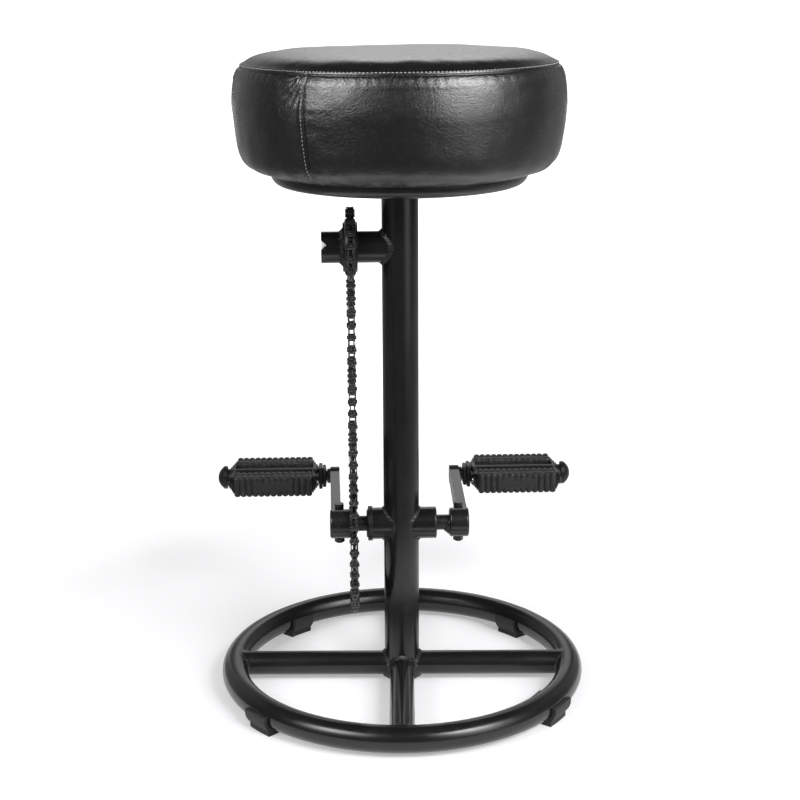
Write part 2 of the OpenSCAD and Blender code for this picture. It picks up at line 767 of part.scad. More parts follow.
// Crank: side is 1 on the right and -1 on the left
module crank(side, boss, cotter_x) {
    reach = side > 0 ? arm_reach - right_inset : arm_reach;
    eye_in = reach - arm_t;
    difference() {
        union() {
            translate([0, 0, bracket_z]) children();
            // Arm, drawn from above and cut to its taper
            intersection() {
                translate([0, 0, bracket_z - boss_r]) linear_extrude(2 * boss_r) polygon([
                    [side * (boss[1] - boss_arm_drop - arm_t), 0], [side * (boss[1] - boss_arm_drop), 0],
                    [side * reach, crank_len], [side * eye_in, crank_len]]);
                translate([0, 0, bracket_z]) at_x(-2 * arm_reach) linear_extrude(4 * arm_reach)
                    polygon([[0, -arm_start_h / 2], [crank_len, -arm_end_h / 2],
                        [crank_len, arm_end_h / 2], [0, arm_start_h / 2]]);
            }
            translate([0, crank_len, bracket_z])
                bar_x(min(side * eye_in, side * reach), max(side * eye_in, side * reach), eye_r);
            // Seat of the cotter's nut
            translate([cotter_x, cotter_y, bracket_z - cotter_foot])
                cylinder(h = cotter_foot, r = cotter_foot_r);
        }
        translate([0, 0, bracket_z]) bar_x(-2 * arm_reach, 2 * arm_reach, axle_r + press_gap);
        translate([0, crank_len, bracket_z]) bar_x(-2 * arm_reach, 2 * arm_reach, thread_r + press_gap);
        cotter_hole(cotter_x, press_gap);
        // Flat round the cotter's plain end
        translate([cotter_x, cotter_y, bracket_z + cotter_top])
            cylinder(h = boss_r, r = cotter_foot_r);
    }
}

module crank_left() {
    seat_in = left_boss[0] - chain_seat_len;
    color("#232324") crank(-1, left_boss, left_cotter_x) {
        rounded_bar_x(-left_boss[1], -left_boss[0], boss_r, boss_round);
        bar_x(-left_boss[0] - boss_round, -seat_in, chain_seat_r);
        intersection() {
            translate([-seat_in + neck_start, 0, 0]) rotate([0, 180, 0]) neck();
            bar_x(-left_boss[1], 0, chain_seat_r);
        }
    }
}

module crank_right() {
    color("#232324") crank(1, right_boss, right_cotter_x) {
        rounded_bar_x(right_boss[0], right_boss[1], boss_r, boss_round);
        translate([right_boss[0] - neck_len / 3, 0, 0]) neck();
    }
}

module cotter_pin(x) {
    color("#4a4a4d") translate([x, cotter_y, bracket_z]) {
        translate([0, 0, -cotter_foot + 1])
            cylinder(h = cotter_foot - 1 + cotter_top + cotter_proud, r = cotter_r);
        translate([0, 0, -cotter_foot - cotter_nut_h - 1])
            cylinder(h = cotter_nut_h + 3, r = cotter_thread_r);
    }
}

module cotter_nuts() {
    color("#5a5a5d") for (x = [left_cotter_x, right_cotter_x])
        translate([x, cotter_y, bracket_z - cotter_foot - press_gap - cotter_nut_h]) difference() {
            cylinder(h = cotter_nut_h, r = cotter_nut_r, $fn = 6);
            translate([0, 0, -cut]) cylinder(h = cotter_nut_h + 2 * cut, r = cotter_thread_r + run_gap);
        }
}

// Chain

chain_total = ring_wrap + sprocket_wrap + 2 * run_links;
function ring_pin(k) = let (a = k * ring_step - ring_half) ring_pitch_r * [sin(a), -cos(a)];
function sprocket_pin(k) = let (a = sprocket_half - k * sprocket_step)
    [0, centre_distance] + sprocket_pitch_r * [sin(a), cos(a)];
function between(a, b, k) = a + (b - a) * k / run_links;
chain_points = concat(
    [for (k = [0 : ring_wrap]) ring_pin(k)],
    [for (k = [1 : run_links - 1]) between(ring_pin(ring_wrap), sprocket_pin(0), k)],
    [for (k = [0 : sprocket_wrap]) sprocket_pin(k)],
    [for (k = [1 : run_links - 1]) between(sprocket_pin(sprocket_wrap), ring_pin(0), k)]);

module link_plate() {
    circle(d = plate_h, $fn = 32);
    translate([pitch, 0]) circle(d = plate_h, $fn = 32);
    translate([0, -plate_h * 0.38]) square([pitch, plate_h * 0.76]);
}

// Puts a link drawn along local x on every second pair of chain pins
module along_chain(first) {
    translate([-chain_x, 0, bracket_z]) for (i = [first : 2 : chain_total - 1]) {
        a = chain_points[i];
        b = chain_points[(i + 1) % chain_total];
        translate([0, a[0], a[1]]) rotate([90, 0, 90]) rotate(atan2(b[1] - a[1], b[0] - a[0])) children();
    }
}

module chain_outer_links() {
    color("#2e2e30") along_chain(0) {
        for (z = [-outer_plate_x - plate_t, outer_plate_x])
            translate([0, 0, z]) linear_extrude(plate_t) link_plate();
        for (x = [0, pitch]) translate([x, 0, -chain_pin_half])
            cylinder(h = 2 * chain_pin_half, r = chain_pin_r, $fn = 24);
    }
}

module chain_inner_links() {
    color("#29292b") along_chain(1) difference() {
        union() {
            for (z = [-inner_plate_x - plate_t, inner_plate_x])
                translate([0, 0, z]) linear_extrude(plate_t) link_plate();
            for (x = [0, pitch]) translate([x, 0, -inner_plate_x - plate_t / 2])
                cylinder(h = 2 * inner_plate_x + plate_t, r = bush_r, $fn = 24);
        }
        for (x = [0, pitch]) translate([x, 0, -2 * chain_w])
            cylinder(h = 4 * chain_w, r = chain_pin_r + run_gap, $fn = 24);
    }
}

module chain_rollers() {
    color("#38383a") translate([-chain_x, 0, bracket_z]) for (p = chain_points)
        translate([0, p[0], p[1]]) rotate([90, 0, 90]) difference() {
            translate([0, 0, -chain_w / 2 + run_gap])
                cylinder(h = chain_w - 2 * run_gap, r = roller_r, $fn = 24);
            translate([0, 0, -chain_w]) cylinder(h = 2 * chain_w, r = bush_r + run_gap, $fn = 24);
        }
}

// Pedals

// Puts a pedal drawn on the right on its own side
module on_side(side) {
    translate([side > 0 ? -right_inset : 0, crank_len, bracket_z]) mirror([side < 0 ? 1 : 0, 0, 0])
        children();
}

module pedal_spindle(side) {
    color("#4a4a4d") on_side(side) {
        bar_x(arm_reach - arm_t, arm_reach + cut, thread_r);
        bar_x(arm_reach + press_gap, arm_reach + spindle_flange_t, spindle_flange_r);
        bar_x(arm_reach, inner_ball_x - race_deep / 2 - cone_len + press_gap, spindle_collar_r);
        bar_x(inner_ball_x - race_deep / 2 - cone_len, inner_ball_x - race_deep / 2, cone_r);
        bar_x(arm_reach, outer_ball_x + race_deep / 2 + cone_len, spindle_r);
        bar_x(outer_ball_x + race_deep / 2, outer_ball_x + race_deep / 2 + cone_len, cone_r);
    }
}

module pedal_barrel(side) {
    color("#3a3a3c") on_side(side) difference() {
        bar_x(barrel_in, barrel_out, barrel_r);
        bar_x(barrel_in - cut, barrel_out + cut, barrel_bore_r);
        bar_x(barrel_in - cut, inner_ball_x + race_deep / 2, pedal_race_r);
        bar_x(outer_ball_x - race_deep / 2, barrel_out + cut, pedal_race_r);
    }
}

module pedal_balls(side) {
    color("#b9bbbe") on_side(side)
        for (x = [inner_ball_x, outer_ball_x]) ball_row(x, pedal_ball_row_r, pedal_ball_d, 10);
}

// Thickness of an end plate at a distance y from the spindle, in steps down to its ends
function plate_step(y) = max(0, min(plate_steps, floor((y - nose_half) / plate_run + 0.5)));
function plate_at(rise, y) = rise - (rise - plate_edge_t) / plate_steps * plate_step(y);
plate_run = (plate_half - nose_half) / plate_steps;

// Plan of an end plate; x grows away from the blocks
module stepped_plan(rise) {
    stair = [for (i = [0 : plate_steps - 1], e = [0, 1])
        [rise - (i + e) * (rise - plate_edge_t) / plate_steps, nose_half + (i + 0.5) * plate_run]];
    polygon(concat([[0, -plate_half], [plate_edge_t, -plate_half]],
        reversed([for (p = stair) [p[0], -p[1]]]), stair,
        [[plate_edge_t, plate_half], [0, plate_half]]));
}

module pedal_plate(rise) {
    difference() {
        translate([0, 0, -plate_h_pedal / 2]) linear_extrude(plate_h_pedal) stepped_plan(rise);
        bar_x(-cut, rise + cut, barrel_r + press_gap);
        for (y = [-rod_y, rod_y]) translate([0, y, 0]) bar_x(-cut, rise + cut, rod_r + run_gap);
        // Recess round each rod's end, so that its nut sits flat
        for (y = [-rod_y, rod_y]) translate([0, y, 0])
            bar_x(plate_seat(rise), rise + cut, rod_nut_r + nut_play);
    }
}
// Thickness left under a rod's nut
function plate_seat(rise) = plate_at(rise, rod_y + rod_nut_r + 1);

module pedal_inner_plate(side) {
    color("#2a2a2b") on_side(side) translate([block_in - rest_gap, 0, 0]) mirror([1, 0, 0])
        pedal_plate(inner_plate_rise);
}

module pedal_outer_plate(side) {
    color("#2a2a2b") on_side(side) translate([block_out + rest_gap, 0, 0])
        pedal_plate(outer_plate_rise);
}

module pedal_blocks(side) {
    inner = block_gap / 2;
    deep = (pedal_depth - block_gap) / 2;
    color("#1d1d1e") on_side(side) for (s = [0, 1]) mirror([0, s, 0]) difference() {
        union() {
            translate([block_in, inner, -block_h / 2 + rib_deep])
                cube([block_len, deep - rib_deep, block_h - 2 * rib_deep]);
            for (i = [0 : rib_count - 1])
                translate([block_in + (i + 0.5) * rib_pitch - rib_w / 2, inner + 1, -block_h / 2])
                    cube([rib_w, deep - 1, block_h]);
        }
        translate([0, rod_y, 0]) bar_x(block_in - cut, block_out + cut, rod_r + run_gap);
    }
}

module pedal_rods(side) {
    inner_end = block_in - rest_gap - plate_seat(inner_plate_rise);
    outer_end = block_out + rest_gap + plate_seat(outer_plate_rise);
    color("#55565a") on_side(side) for (y = [-rod_y, rod_y]) translate([0, y, 0]) {
        bar_x(inner_end - rod_nut_t, outer_end + rod_nut_t + 1, rod_r);
        bar_x(inner_end - rod_nut_t, inner_end - press_gap, rod_nut_r);
        translate([outer_end + press_gap, 0, 0]) rotate([0, 90, 0])
            cylinder(h = rod_nut_t, r = rod_nut_r, $fn = 6);
    }
}

module pedal_cap(side) {
    color("#303032") on_side(side) translate([barrel_out + press_gap, 0, 0]) rotate([0, 90, 0])
        difference() {
            union() {
                cylinder(h = cap_rim, r = cap_r);
                rotate_extrude() intersection() {
                    translate([0, cap_len - cap_dome_r]) circle(r = cap_dome_r, $fn = 128);
                    translate([0, cap_rim - cap_ledge]) square([cap_r, cap_len]);
                }
            }
            translate([0, 0, -cut]) cylinder(h = cap_rim - cap_ledge + cut, r = cap_r - cap_wall);
        }
}

base_ring();
spoke(270);  // spoke_front
spoke(90);  // spoke_back
spoke(180);  // spoke_left
spoke(0);  // spoke_right
floor_pad(0);  // floor_pad_1
floor_pad(1);  // floor_pad_2
floor_pad(2);  // floor_pad_3
floor_pad(3);  // floor_pad_4
post();
weld_beads();
seat_pan();
seat_bolts();
seat_spacers();
tee_nuts();
dust_cloth();
seat_board();
seat_foam();
cover_side_band();
cover_top_panel();
stub_tube();
freewheel_core();
freewheel_lock_plate();
freewheel_balls();
freewheel_pawls();
freewheel_ring();
bracket_shell();
fixed_cup();
adjustable_cup();
cup_lockring();
bracket_balls();
bracket_axle();
chainring();
crank_left();
crank_right();
cotter_pin(left_cotter_x);  // cotter_pin_left
cotter_pin(right_cotter_x);  // cotter_pin_right
cotter_nuts();
chain_inner_links();
chain_outer_links();
chain_rollers();
pedal_spindle(-1);  // pedal_spindle_left
pedal_barrel(-1);  // pedal_barrel_left
pedal_balls(-1);  // pedal_balls_left
pedal_inner_plate(-1);  // pedal_inner_plate_left
pedal_outer_plate(-1);  // pedal_outer_plate_left
pedal_blocks(-1);  // pedal_blocks_left
pedal_rods(-1);  // pedal_rods_left
pedal_cap(-1);  // pedal_cap_left
pedal_spindle(1);  // pedal_spindle_right
pedal_barrel(1);  // pedal_barrel_right
pedal_balls(1);  // pedal_balls_right
pedal_inner_plate(1);  // pedal_inner_plate_right
pedal_outer_plate(1);  // pedal_outer_plate_right
pedal_blocks(1);  // pedal_blocks_right
pedal_rods(1);  // pedal_rods_right
pedal_cap(1);  // pedal_cap_right
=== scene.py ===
import json
import math

import bmesh
import bpy
import numpy as np
from mathutils import Matrix, Vector, noise


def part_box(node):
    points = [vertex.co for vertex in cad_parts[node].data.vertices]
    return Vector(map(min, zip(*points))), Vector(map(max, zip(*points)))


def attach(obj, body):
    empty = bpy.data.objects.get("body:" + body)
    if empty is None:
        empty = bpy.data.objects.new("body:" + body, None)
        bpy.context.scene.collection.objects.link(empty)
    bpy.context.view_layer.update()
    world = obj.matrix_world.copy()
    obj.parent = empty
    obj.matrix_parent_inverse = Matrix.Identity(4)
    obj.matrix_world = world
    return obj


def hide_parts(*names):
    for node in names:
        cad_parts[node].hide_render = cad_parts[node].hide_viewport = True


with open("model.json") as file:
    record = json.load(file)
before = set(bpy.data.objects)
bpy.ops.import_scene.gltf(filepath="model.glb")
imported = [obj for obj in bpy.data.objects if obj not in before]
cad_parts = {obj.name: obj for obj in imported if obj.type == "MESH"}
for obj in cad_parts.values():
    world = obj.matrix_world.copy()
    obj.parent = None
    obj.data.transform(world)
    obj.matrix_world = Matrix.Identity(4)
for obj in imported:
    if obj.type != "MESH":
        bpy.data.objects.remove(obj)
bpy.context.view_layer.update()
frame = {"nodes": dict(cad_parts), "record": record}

MM = 0.001


def span(node):
    """Lowest and highest corner of a CAD node, in millimetres."""
    lo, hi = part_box(node)
    return np.array(lo) / MM, np.array(hi) / MM


# Meshes

def add_object(name, data):
    """A new object in the scene."""
    obj = bpy.data.objects.new(name, data)
    bpy.context.scene.collection.objects.link(obj)
    return obj


def add_mesh(name, verts, faces, material, sharp_deg=None):
    """A smooth object from points in millimetres."""
    mesh = bpy.data.meshes.new(name)
    mesh.from_pydata((np.asarray(verts, float) * MM).tolist(), [], [list(map(int, f)) for f in faces])
    mesh.validate()
    mesh.shade_smooth()
    if sharp_deg is not None:
        mesh.set_sharp_from_angle(angle=math.radians(sharp_deg))
    mesh.materials.append(material)
    return add_object(name, mesh)


def grid_faces(rows, columns, close_rows=False, close_columns=True):
    """Quads of a grid of points that is stored row by row."""
    faces = []
    for i in range(rows if close_rows else rows - 1):
        for j in range(columns if close_columns else columns - 1):
            a, b = i * columns, (i + 1) % rows * columns
            k = (j + 1) % columns
            faces.append((a + j, a + k, b + k, b + j))
    return faces


class Parts:
    """Points and faces of several bodies that make up one object."""

    def __init__(self):
        self.verts, self.faces = [], []

    def add(self, verts, faces):
        start = len(self.verts)
        self.verts.extend(tuple(v) for v in verts)
        self.faces.extend(tuple(start + i for i in f) for f in faces)

    def tube(self, rings, closed=False):
        """A tube through rings of points; its ends are capped unless it is closed."""
        rings = np.asarray(rings, float)
        rows, columns = rings.shape[:2]
        faces = grid_faces(rows, columns, close_rows=closed)
        if not closed:
            faces.append(tuple(range(columns))[::-1])
            faces.append(tuple((rows - 1) * columns + j for j in range(columns)))
        self.add(rings.reshape(-1, 3), faces)

    def build(self, name, material, sharp_deg=None):
        obj = add_mesh(name, self.verts, self.faces, material, sharp_deg)
        fix_normals(obj)
        return obj


def fix_normals(obj):
    """Turns every face of the object outwards."""
    bm = bmesh.new()
    bm.from_mesh(obj.data)
    bmesh.ops.recalc_face_normals(bm, faces=bm.faces)
    bm.to_mesh(obj.data)
    bm.free()


def smooth_step(x):
    """Rises softly from 0 to 1 as x goes from 0 to 1."""
    x = np.clip(x, 0.0, 1.0)
    return x * x * (3 - 2 * x)


def bell(x, width):
    """Rises softly to 1 at 0 and falls again."""
    return np.exp(-(x / width) ** 2)


def full_turn(count):
    """Even angles all the way round."""
    return np.linspace(0, 2 * math.pi, count, endpoint=False)


def circle_x(x, r, centre, angles):
    """Points round an axis along X through a centre."""
    return [(x, centre[1] + r * math.cos(a), centre[2] + r * math.sin(a)) for a in angles]


def fractal(points, size, seed, octaves=3):
    """Noise of about -1 to 1 at each point, with features of the given size in millimetres."""
    offset = Vector((seed * 17.3, seed * 9.1, seed * 5.7))
    return np.array([noise.fractal(Vector(p) / size + offset, 0.8, 2.0, octaves) for p in points])


def spline(points, steps):
    """Points along a curve through the given points."""
    p = np.asarray(points, float)
    out = []
    for i in range(len(p) - 1):
        a, b, c, d = p[max(i - 1, 0)], p[i], p[i + 1], p[min(i + 2, len(p) - 1)]
        for t in np.arange(steps) / steps:
            out.append(0.5 * (2 * b + (c - a) * t + (2 * a - 5 * b + 4 * c - d) * t ** 2
                              + (3 * b - a - 3 * c + d) * t ** 3))
    return np.array(out + [p[-1]])


# Materials

def set_inputs(node, **values):
    """Gives the node's inputs their values. An underscore stands for a blank in an input's name."""
    for key, value in values.items():
        node.inputs[key.replace("_", " ")].default_value = value


def shader(name, color, rough, metallic=0.0, specular=0.5):
    """A new material, its node tree and its surface node."""
    mat = bpy.data.materials.new(name)
    mat.use_nodes = True
    tree = mat.node_tree
    bsdf = tree.nodes["Principled BSDF"]
    set_inputs(bsdf, Base_Color=(*color, 1), Roughness=rough, Metallic=metallic,
               Specular_IOR_Level=specular)
    return mat, tree, bsdf


def texture(tree, kind, size, stretch=(1, 1, 1), **values):
    """A texture in the object's own space, with features of the given size in millimetres."""
    place = tree.nodes.new("ShaderNodeTexCoord")
    mapping = tree.nodes.new("ShaderNodeMapping")
    set_inputs(mapping, Scale=stretch)
    tree.links.new(place.outputs["Object"], mapping.inputs["Vector"])
    node = tree.nodes.new(kind)
    set_inputs(node, Scale=1 / (size * MM), **values)
    tree.links.new(mapping.outputs["Vector"], node.inputs["Vector"])
    return node


def noise_of(tree, size, detail=3.0, rough=0.55, distortion=0.0, stretch=(1, 1, 1)):
    """Noise from 0 to 1, mostly between 0.3 and 0.7."""
    node = texture(tree, "ShaderNodeTexNoise", size, stretch, Detail=detail, Roughness=rough,
                   Distortion=distortion)
    return node.outputs["Fac"]


def ranged(tree, value, low, high, from_low=0.3, from_high=0.7):
    """The value stretched from one range to another and kept in it."""
    node = tree.nodes.new("ShaderNodeMapRange")
    set_inputs(node, From_Min=from_low, From_Max=from_high, To_Min=low, To_Max=high)
    tree.links.new(value, node.inputs["Value"])
    return node.outputs["Result"]


# Numbers of the colour sockets on a mix node, where other sockets have the same names
MIX_A, MIX_B, MIX_RESULT = 6, 7, 2


def mixed(tree, factor, dark, light):
    """A colour between two others, each of them a colour or a socket."""
    node = tree.nodes.new("ShaderNodeMix")
    node.data_type = "RGBA"
    for socket, color in ((MIX_A, dark), (MIX_B, light)):
        if isinstance(color, tuple):
            node.inputs[socket].default_value = (*color, 1)
        else:
            tree.links.new(color, node.inputs[socket])
    tree.links.new(factor, node.inputs["Factor"])
    return node.outputs[MIX_RESULT]


def math_node(tree, operation, a, b):
    """An operation on two sockets or numbers."""
    node = tree.nodes.new("ShaderNodeMath")
    node.operation = operation
    for i, value in enumerate((a, b)):
        if isinstance(value, (int, float)):
            node.inputs[i].default_value = value
        else:
            tree.links.new(value, node.inputs[i])
    return node.outputs[0]


def bump(tree, bsdf, height, strength, depth_mm, under=None):
    """Bumps of the given depth, on top of those of another bump where one is given."""
    node = tree.nodes.new("ShaderNodeBump")
    set_inputs(node, Strength=strength, Distance=depth_mm * MM)
    tree.links.new(height, node.inputs["Height"])
    if under is not None:
        tree.links.new(under, node.inputs["Normal"])
    tree.links.new(node.outputs["Normal"], bsdf.inputs["Normal"])
    return node.outputs["Normal"]


def painted(name, color, light, rough, grain=1.2, depth=0.03, spread=0.04, specular=0.5):
    """Satin paint over steel: a faint orange peel, and dust that lightens it in patches."""
    mat, tree, bsdf = shader(name, color, rough, specular=specular)
    dust = ranged(tree, noise_of(tree, 45, 5), 0, 1, 0.4, 0.75)
    tree.links.new(mixed(tree, dust, color, light), bsdf.inputs["Base Color"])
    streak = noise_of(tree, 9, 4)
    tree.links.new(ranged(tree, streak, rough - spread, rough + spread), bsdf.inputs["Roughness"])
    bump(tree, bsdf, noise_of(tree, grain * 3, 2), 0.25, depth)
    return mat


def worn_metal(name, color, bare, rough, amount, size):
    """Blackened steel with bare specks where it is rubbed."""
    mat, tree, bsdf = shader(name, color, rough)
    speck = noise_of(tree, size, 6, 0.65)
    mask = ranged(tree, speck, 0, 1, 1 - amount, 1.06 - amount)
    tree.links.new(mixed(tree, mask, color, bare), bsdf.inputs["Base Color"])
    tree.links.new(mask, bsdf.inputs["Metallic"])
    oiled = noise_of(tree, size * 2)
    tree.links.new(ranged(tree, oiled, rough - 0.08, rough + 0.1), bsdf.inputs["Roughness"])
    bump(tree, bsdf, noise_of(tree, size * 0.6, 4), 0.3, 0.12)
    return mat


def leather_material():
    """Black cowhide: pebbled grain, finer pores on it, and drawn creases that run round the seat.
    The hide is smoother where it is stretched over the crown."""
    mat, tree, bsdf = shader("leather", (0.012, 0.012, 0.0125), 0.3, specular=0.9)
    tone = mixed(tree, noise_of(tree, 60, 4), (0.003, 0.003, 0.0035), (0.007, 0.007, 0.0075))
    tree.links.new(tone, bsdf.inputs["Base Color"])
    tree.links.new(ranged(tree, noise_of(tree, 7, 5), 0.2, 0.28), bsdf.inputs["Roughness"])
    place = tree.nodes.new("ShaderNodeTexCoord")
    split = tree.nodes.new("ShaderNodeSeparateXYZ")
    tree.links.new(place.outputs["Object"], split.inputs["Vector"])
    seam_z = span("cover_side_band")[1][2] * MM
    on_side = ranged(tree, split.outputs["Z"], 1.0, 0.25, seam_z, seam_z + 3 * MM)
    cells = texture(tree, "ShaderNodeTexVoronoi", 1.7, Randomness=1.0)
    cells.feature = "SMOOTH_F1"
    crease = noise_of(tree, 2.4, 6, 0.62, 1.2, stretch=(0.7, 0.7, 2.0))
    soft = bump(tree, bsdf, noise_of(tree, 9, 4, 0.5, 0.6, stretch=(0.6, 0.6, 1.8)), 0.3, 0.4)
    drawn = bump(tree, bsdf, math_node(tree, "MULTIPLY", crease, on_side), 0.7, 0.4, soft)
    bump(tree, bsdf, math_node(tree, "MULTIPLY", cells.outputs["Distance"], on_side), 0.6, 0.3, drawn)
    return mat


def rubber(name, color, rough, size=1.1):
    """Matt rubber with a little dust."""
    mat, tree, bsdf = shader(name, color, rough, specular=0.35)
    dust = noise_of(tree, 6, 6, 0.7)
    dusty = tuple(c * 2.0 + 0.006 for c in color)
    tone = mixed(tree, ranged(tree, dust, 0, 1, 0.45, 0.8), color, dusty)
    tree.links.new(tone, bsdf.inputs["Base Color"])
    tree.links.new(ranged(tree, dust, rough - 0.1, rough + 0.1), bsdf.inputs["Roughness"])
    bump(tree, bsdf, noise_of(tree, size, 5, 0.7), 0.4, 0.15)
    return mat


def plain_grain(name, color, light, rough, size, stretch=(1, 1, 1)):
    """A rough material whose grain shows in its colour and its bumps."""
    mat, tree, bsdf = shader(name, color, rough)
    grain = noise_of(tree, size, 6, 0.7, 0.4, stretch)
    tree.links.new(mixed(tree, grain, color, light), bsdf.inputs["Base Color"])
    bump(tree, bsdf, grain, 0.5, 0.3)
    return mat


def thread_material(name, dark, light):
    """Twisted thread."""
    mat, tree, bsdf = shader(name, dark, 0.6)
    twist = noise_of(tree, 0.7, 2)
    tree.links.new(mixed(tree, twist, dark, light), bsdf.inputs["Base Color"])
    bump(tree, bsdf, twist, 0.5, 0.2)
    return mat


def steel_bright():
    mat, tree, bsdf = shader("bright_steel", (0.55, 0.55, 0.56), 0.28, metallic=1.0)
    tree.links.new(ranged(tree, noise_of(tree, 1.5, 4), 0.2, 0.4), bsdf.inputs["Roughness"])
    bump(tree, bsdf, noise_of(tree, 0.8, 3), 0.2, 0.04)
    return mat


MATERIALS = {
    "black_steel": painted("black_paint", (0.006, 0.006, 0.0065), (0.011, 0.0105, 0.0105), 0.22),
    "black_casting": painted("casting_paint", (0.007, 0.007, 0.0075), (0.016, 0.015, 0.014), 0.24,
                             grain=1.6, depth=0.05),
    "dark_hardware": worn_metal("hardware_black", (0.009, 0.009, 0.0095), (0.42, 0.41, 0.4), 0.3, 0.3, 2.2),
    "chain_steel": worn_metal("chain_black", (0.012, 0.012, 0.0125), (0.45, 0.445, 0.44), 0.26, 0.42, 1.1),
    "bright_steel": steel_bright(),
    "black_leather": leather_material(),
    "foam": plain_grain("foam_yellow", (0.62, 0.55, 0.33), (0.75, 0.7, 0.5), 0.9, 1.5),
    "plywood": plain_grain("plywood_raw", (0.42, 0.28, 0.15), (0.62, 0.46, 0.29), 0.7, 3.0, (0.15, 1, 6)),
    "dust_cloth": plain_grain("dust_cloth_black", (0.01, 0.01, 0.01), (0.03, 0.03, 0.03), 0.95, 0.6),
    "floor_rubber": rubber("pad_rubber", (0.014, 0.014, 0.014), 0.6),
    "pedal_rubber": rubber("block_rubber", (0.014, 0.0132, 0.0136), 0.45),
    "pedal_plastic": painted("pedal_black", (0.007, 0.007, 0.0075), (0.016, 0.0155, 0.0155), 0.36,
                             grain=1.0, depth=0.1, specular=0.3),
}
# Materials of the scene's own pieces
WELD_PAINT = worn_metal("weld_black", (0.009, 0.009, 0.0095), (0.5, 0.5, 0.5), 0.3, 0.36, 0.9)
THREAD = thread_material("thread", (0.16, 0.155, 0.15), (0.42, 0.41, 0.4))
DARK_THREAD = thread_material("thread_dark", (0.09, 0.088, 0.085), (0.26, 0.255, 0.25))
# Light grey, far lighter than the paint, for the lining inside the stub tube, so that the inside seen
# through its notch is light
LINING_LIGHT_GREY = plain_grain("lining_light_grey", (0.55, 0.55, 0.54), (0.8, 0.79, 0.78), 0.45, 2.5)
HEAD_STEEL = worn_metal("rod_head_black", (0.02, 0.02, 0.02), (0.6, 0.6, 0.59), 0.3, 0.5, 1.6)


def dress_cad_nodes():
    """Gives each CAD node the material of its slot."""
    for part in frame["record"]["subparts"]:
        obj = frame["nodes"][part["node"]]
        for slot in obj.material_slots:
            slot.material = MATERIALS[part["material_slot"]]


# Camera, worked out from the base ring, the seat and the chain in the photograph. Lengths are in metres
# and angles in radians; the turn is about the post, and the others are the camera's own.

CAMERA_DISTANCE = 1.6094
CAMERA_HEIGHT = 0.7481
CAMERA_TURN = -0.034
CAMERA_PITCH = 0.265
CAMERA_YAW = -0.0005
CAMERA_ROLL = -0.005
FOCAL_PIXELS = 1617.5
IMAGE_PIXELS = 800
SENSOR_MM = 36.0
CAMERA_SIGHT = 200


def make_camera():
    forward = Vector((math.sin(CAMERA_YAW) * math.cos(CAMERA_PITCH),
                      math.cos(CAMERA_YAW) * math.cos(CAMERA_PITCH), -math.sin(CAMERA_PITCH)))
    level = Vector((math.cos(CAMERA_YAW), -math.sin(CAMERA_YAW), 0))
    upright = level.cross(forward)
    right = level * math.cos(CAMERA_ROLL) + upright * math.sin(CAMERA_ROLL)
    up = -level * math.sin(CAMERA_ROLL) + upright * math.cos(CAMERA_ROLL)
    turn = Matrix.Rotation(CAMERA_TURN, 3, "Z")
    axes = Matrix((turn @ right, turn @ up, -(turn @ forward))).transposed()
    place = turn @ Vector((0, -CAMERA_DISTANCE, 0)) + Vector((0, 0, CAMERA_HEIGHT))
    data = bpy.data.cameras.new("camera")
    data.sensor_width = SENSOR_MM
    data.lens = FOCAL_PIXELS / IMAGE_PIXELS * SENSOR_MM
    data.clip_end = CAMERA_SIGHT
    camera = add_object("camera", data)
    camera.matrix_world = Matrix.Translation(place) @ axes.to_4x4()
    bpy.context.scene.camera = camera


# Studio

def seen_directly(tree):
    """1 for the rays that see the background: camera, glossy and transmission rays."""
    path = tree.nodes.new("ShaderNodeLightPath")
    either = math_node(tree, "MAXIMUM", path.outputs["Is Camera Ray"], path.outputs["Is Glossy Ray"])
    return math_node(tree, "MAXIMUM", either, path.outputs["Is Transmission Ray"])


# Strength of the world as a light
AMBIENT = 0.42


def make_world():
    """A plain world: white where it is seen, and dimmer as a light."""
    world = bpy.data.worlds.new("studio")
    world.use_nodes = True
    bpy.context.scene.world = world
    tree = world.node_tree
    background = tree.nodes["Background"]
    set_inputs(background, Color=(1, 1, 1, 1))
    tree.links.new(ranged(tree, seen_directly(tree), AMBIENT, 1.0, 0, 1), background.inputs["Strength"])


# Half the side of the floor, its glow under the stool and far from it, and the distances between which
# the glow rises
FLOOR_HALF = 40.0
FLOOR_NEAR_GLOW, FLOOR_FAR_GLOW = 0.28, 1.0
FLOOR_NEAR, FLOOR_OPEN = 0.5, 1.5


def make_floor():
    """White floor that keeps the stool's shadow and glows up to white away from it."""
    n = FLOOR_HALF
    mesh = bpy.data.meshes.new("floor")
    mesh.from_pydata([(-n, -n, 0), (n, -n, 0), (n, n, 0), (-n, n, 0)], [], [(0, 1, 2, 3)])
    floor = add_object("floor", mesh)
    mat, tree, bsdf = shader("floor_white", (0.82, 0.81, 0.83), 0.9, specular=0.0)
    place = tree.nodes.new("ShaderNodeTexCoord")
    far = tree.nodes.new("ShaderNodeVectorMath")
    far.operation = "LENGTH"
    tree.links.new(place.outputs["Object"], far.inputs[0])
    glow = ranged(tree, far.outputs["Value"], FLOOR_NEAR_GLOW, FLOOR_FAR_GLOW, FLOOR_NEAR, FLOOR_OPEN)
    set_inputs(bsdf, Emission_Color=(1, 1, 1, 1))
    tree.links.new(math_node(tree, "MULTIPLY", seen_directly(tree), glow), bsdf.inputs["Emission Strength"])
    mesh.materials.append(mat)


# Height that the lamps point at
AIM_Z = 0.45
# Lamps: direction, distance, lower and upper edge, width, radiance
LAMPS = {
    "right_high": (49, 2.4, 0.95, 2.3, 1.6, 7.0),
    "right_low": (49, 2.4, 0.25, 0.95, 1.6, 3.0),
    "left": (-50, 2.4, 0.8, 2.1, 1.7, 5.0),
    "shadow_key": (27, 2.0, 1.45, 1.95, 0.5, 25.0),
}


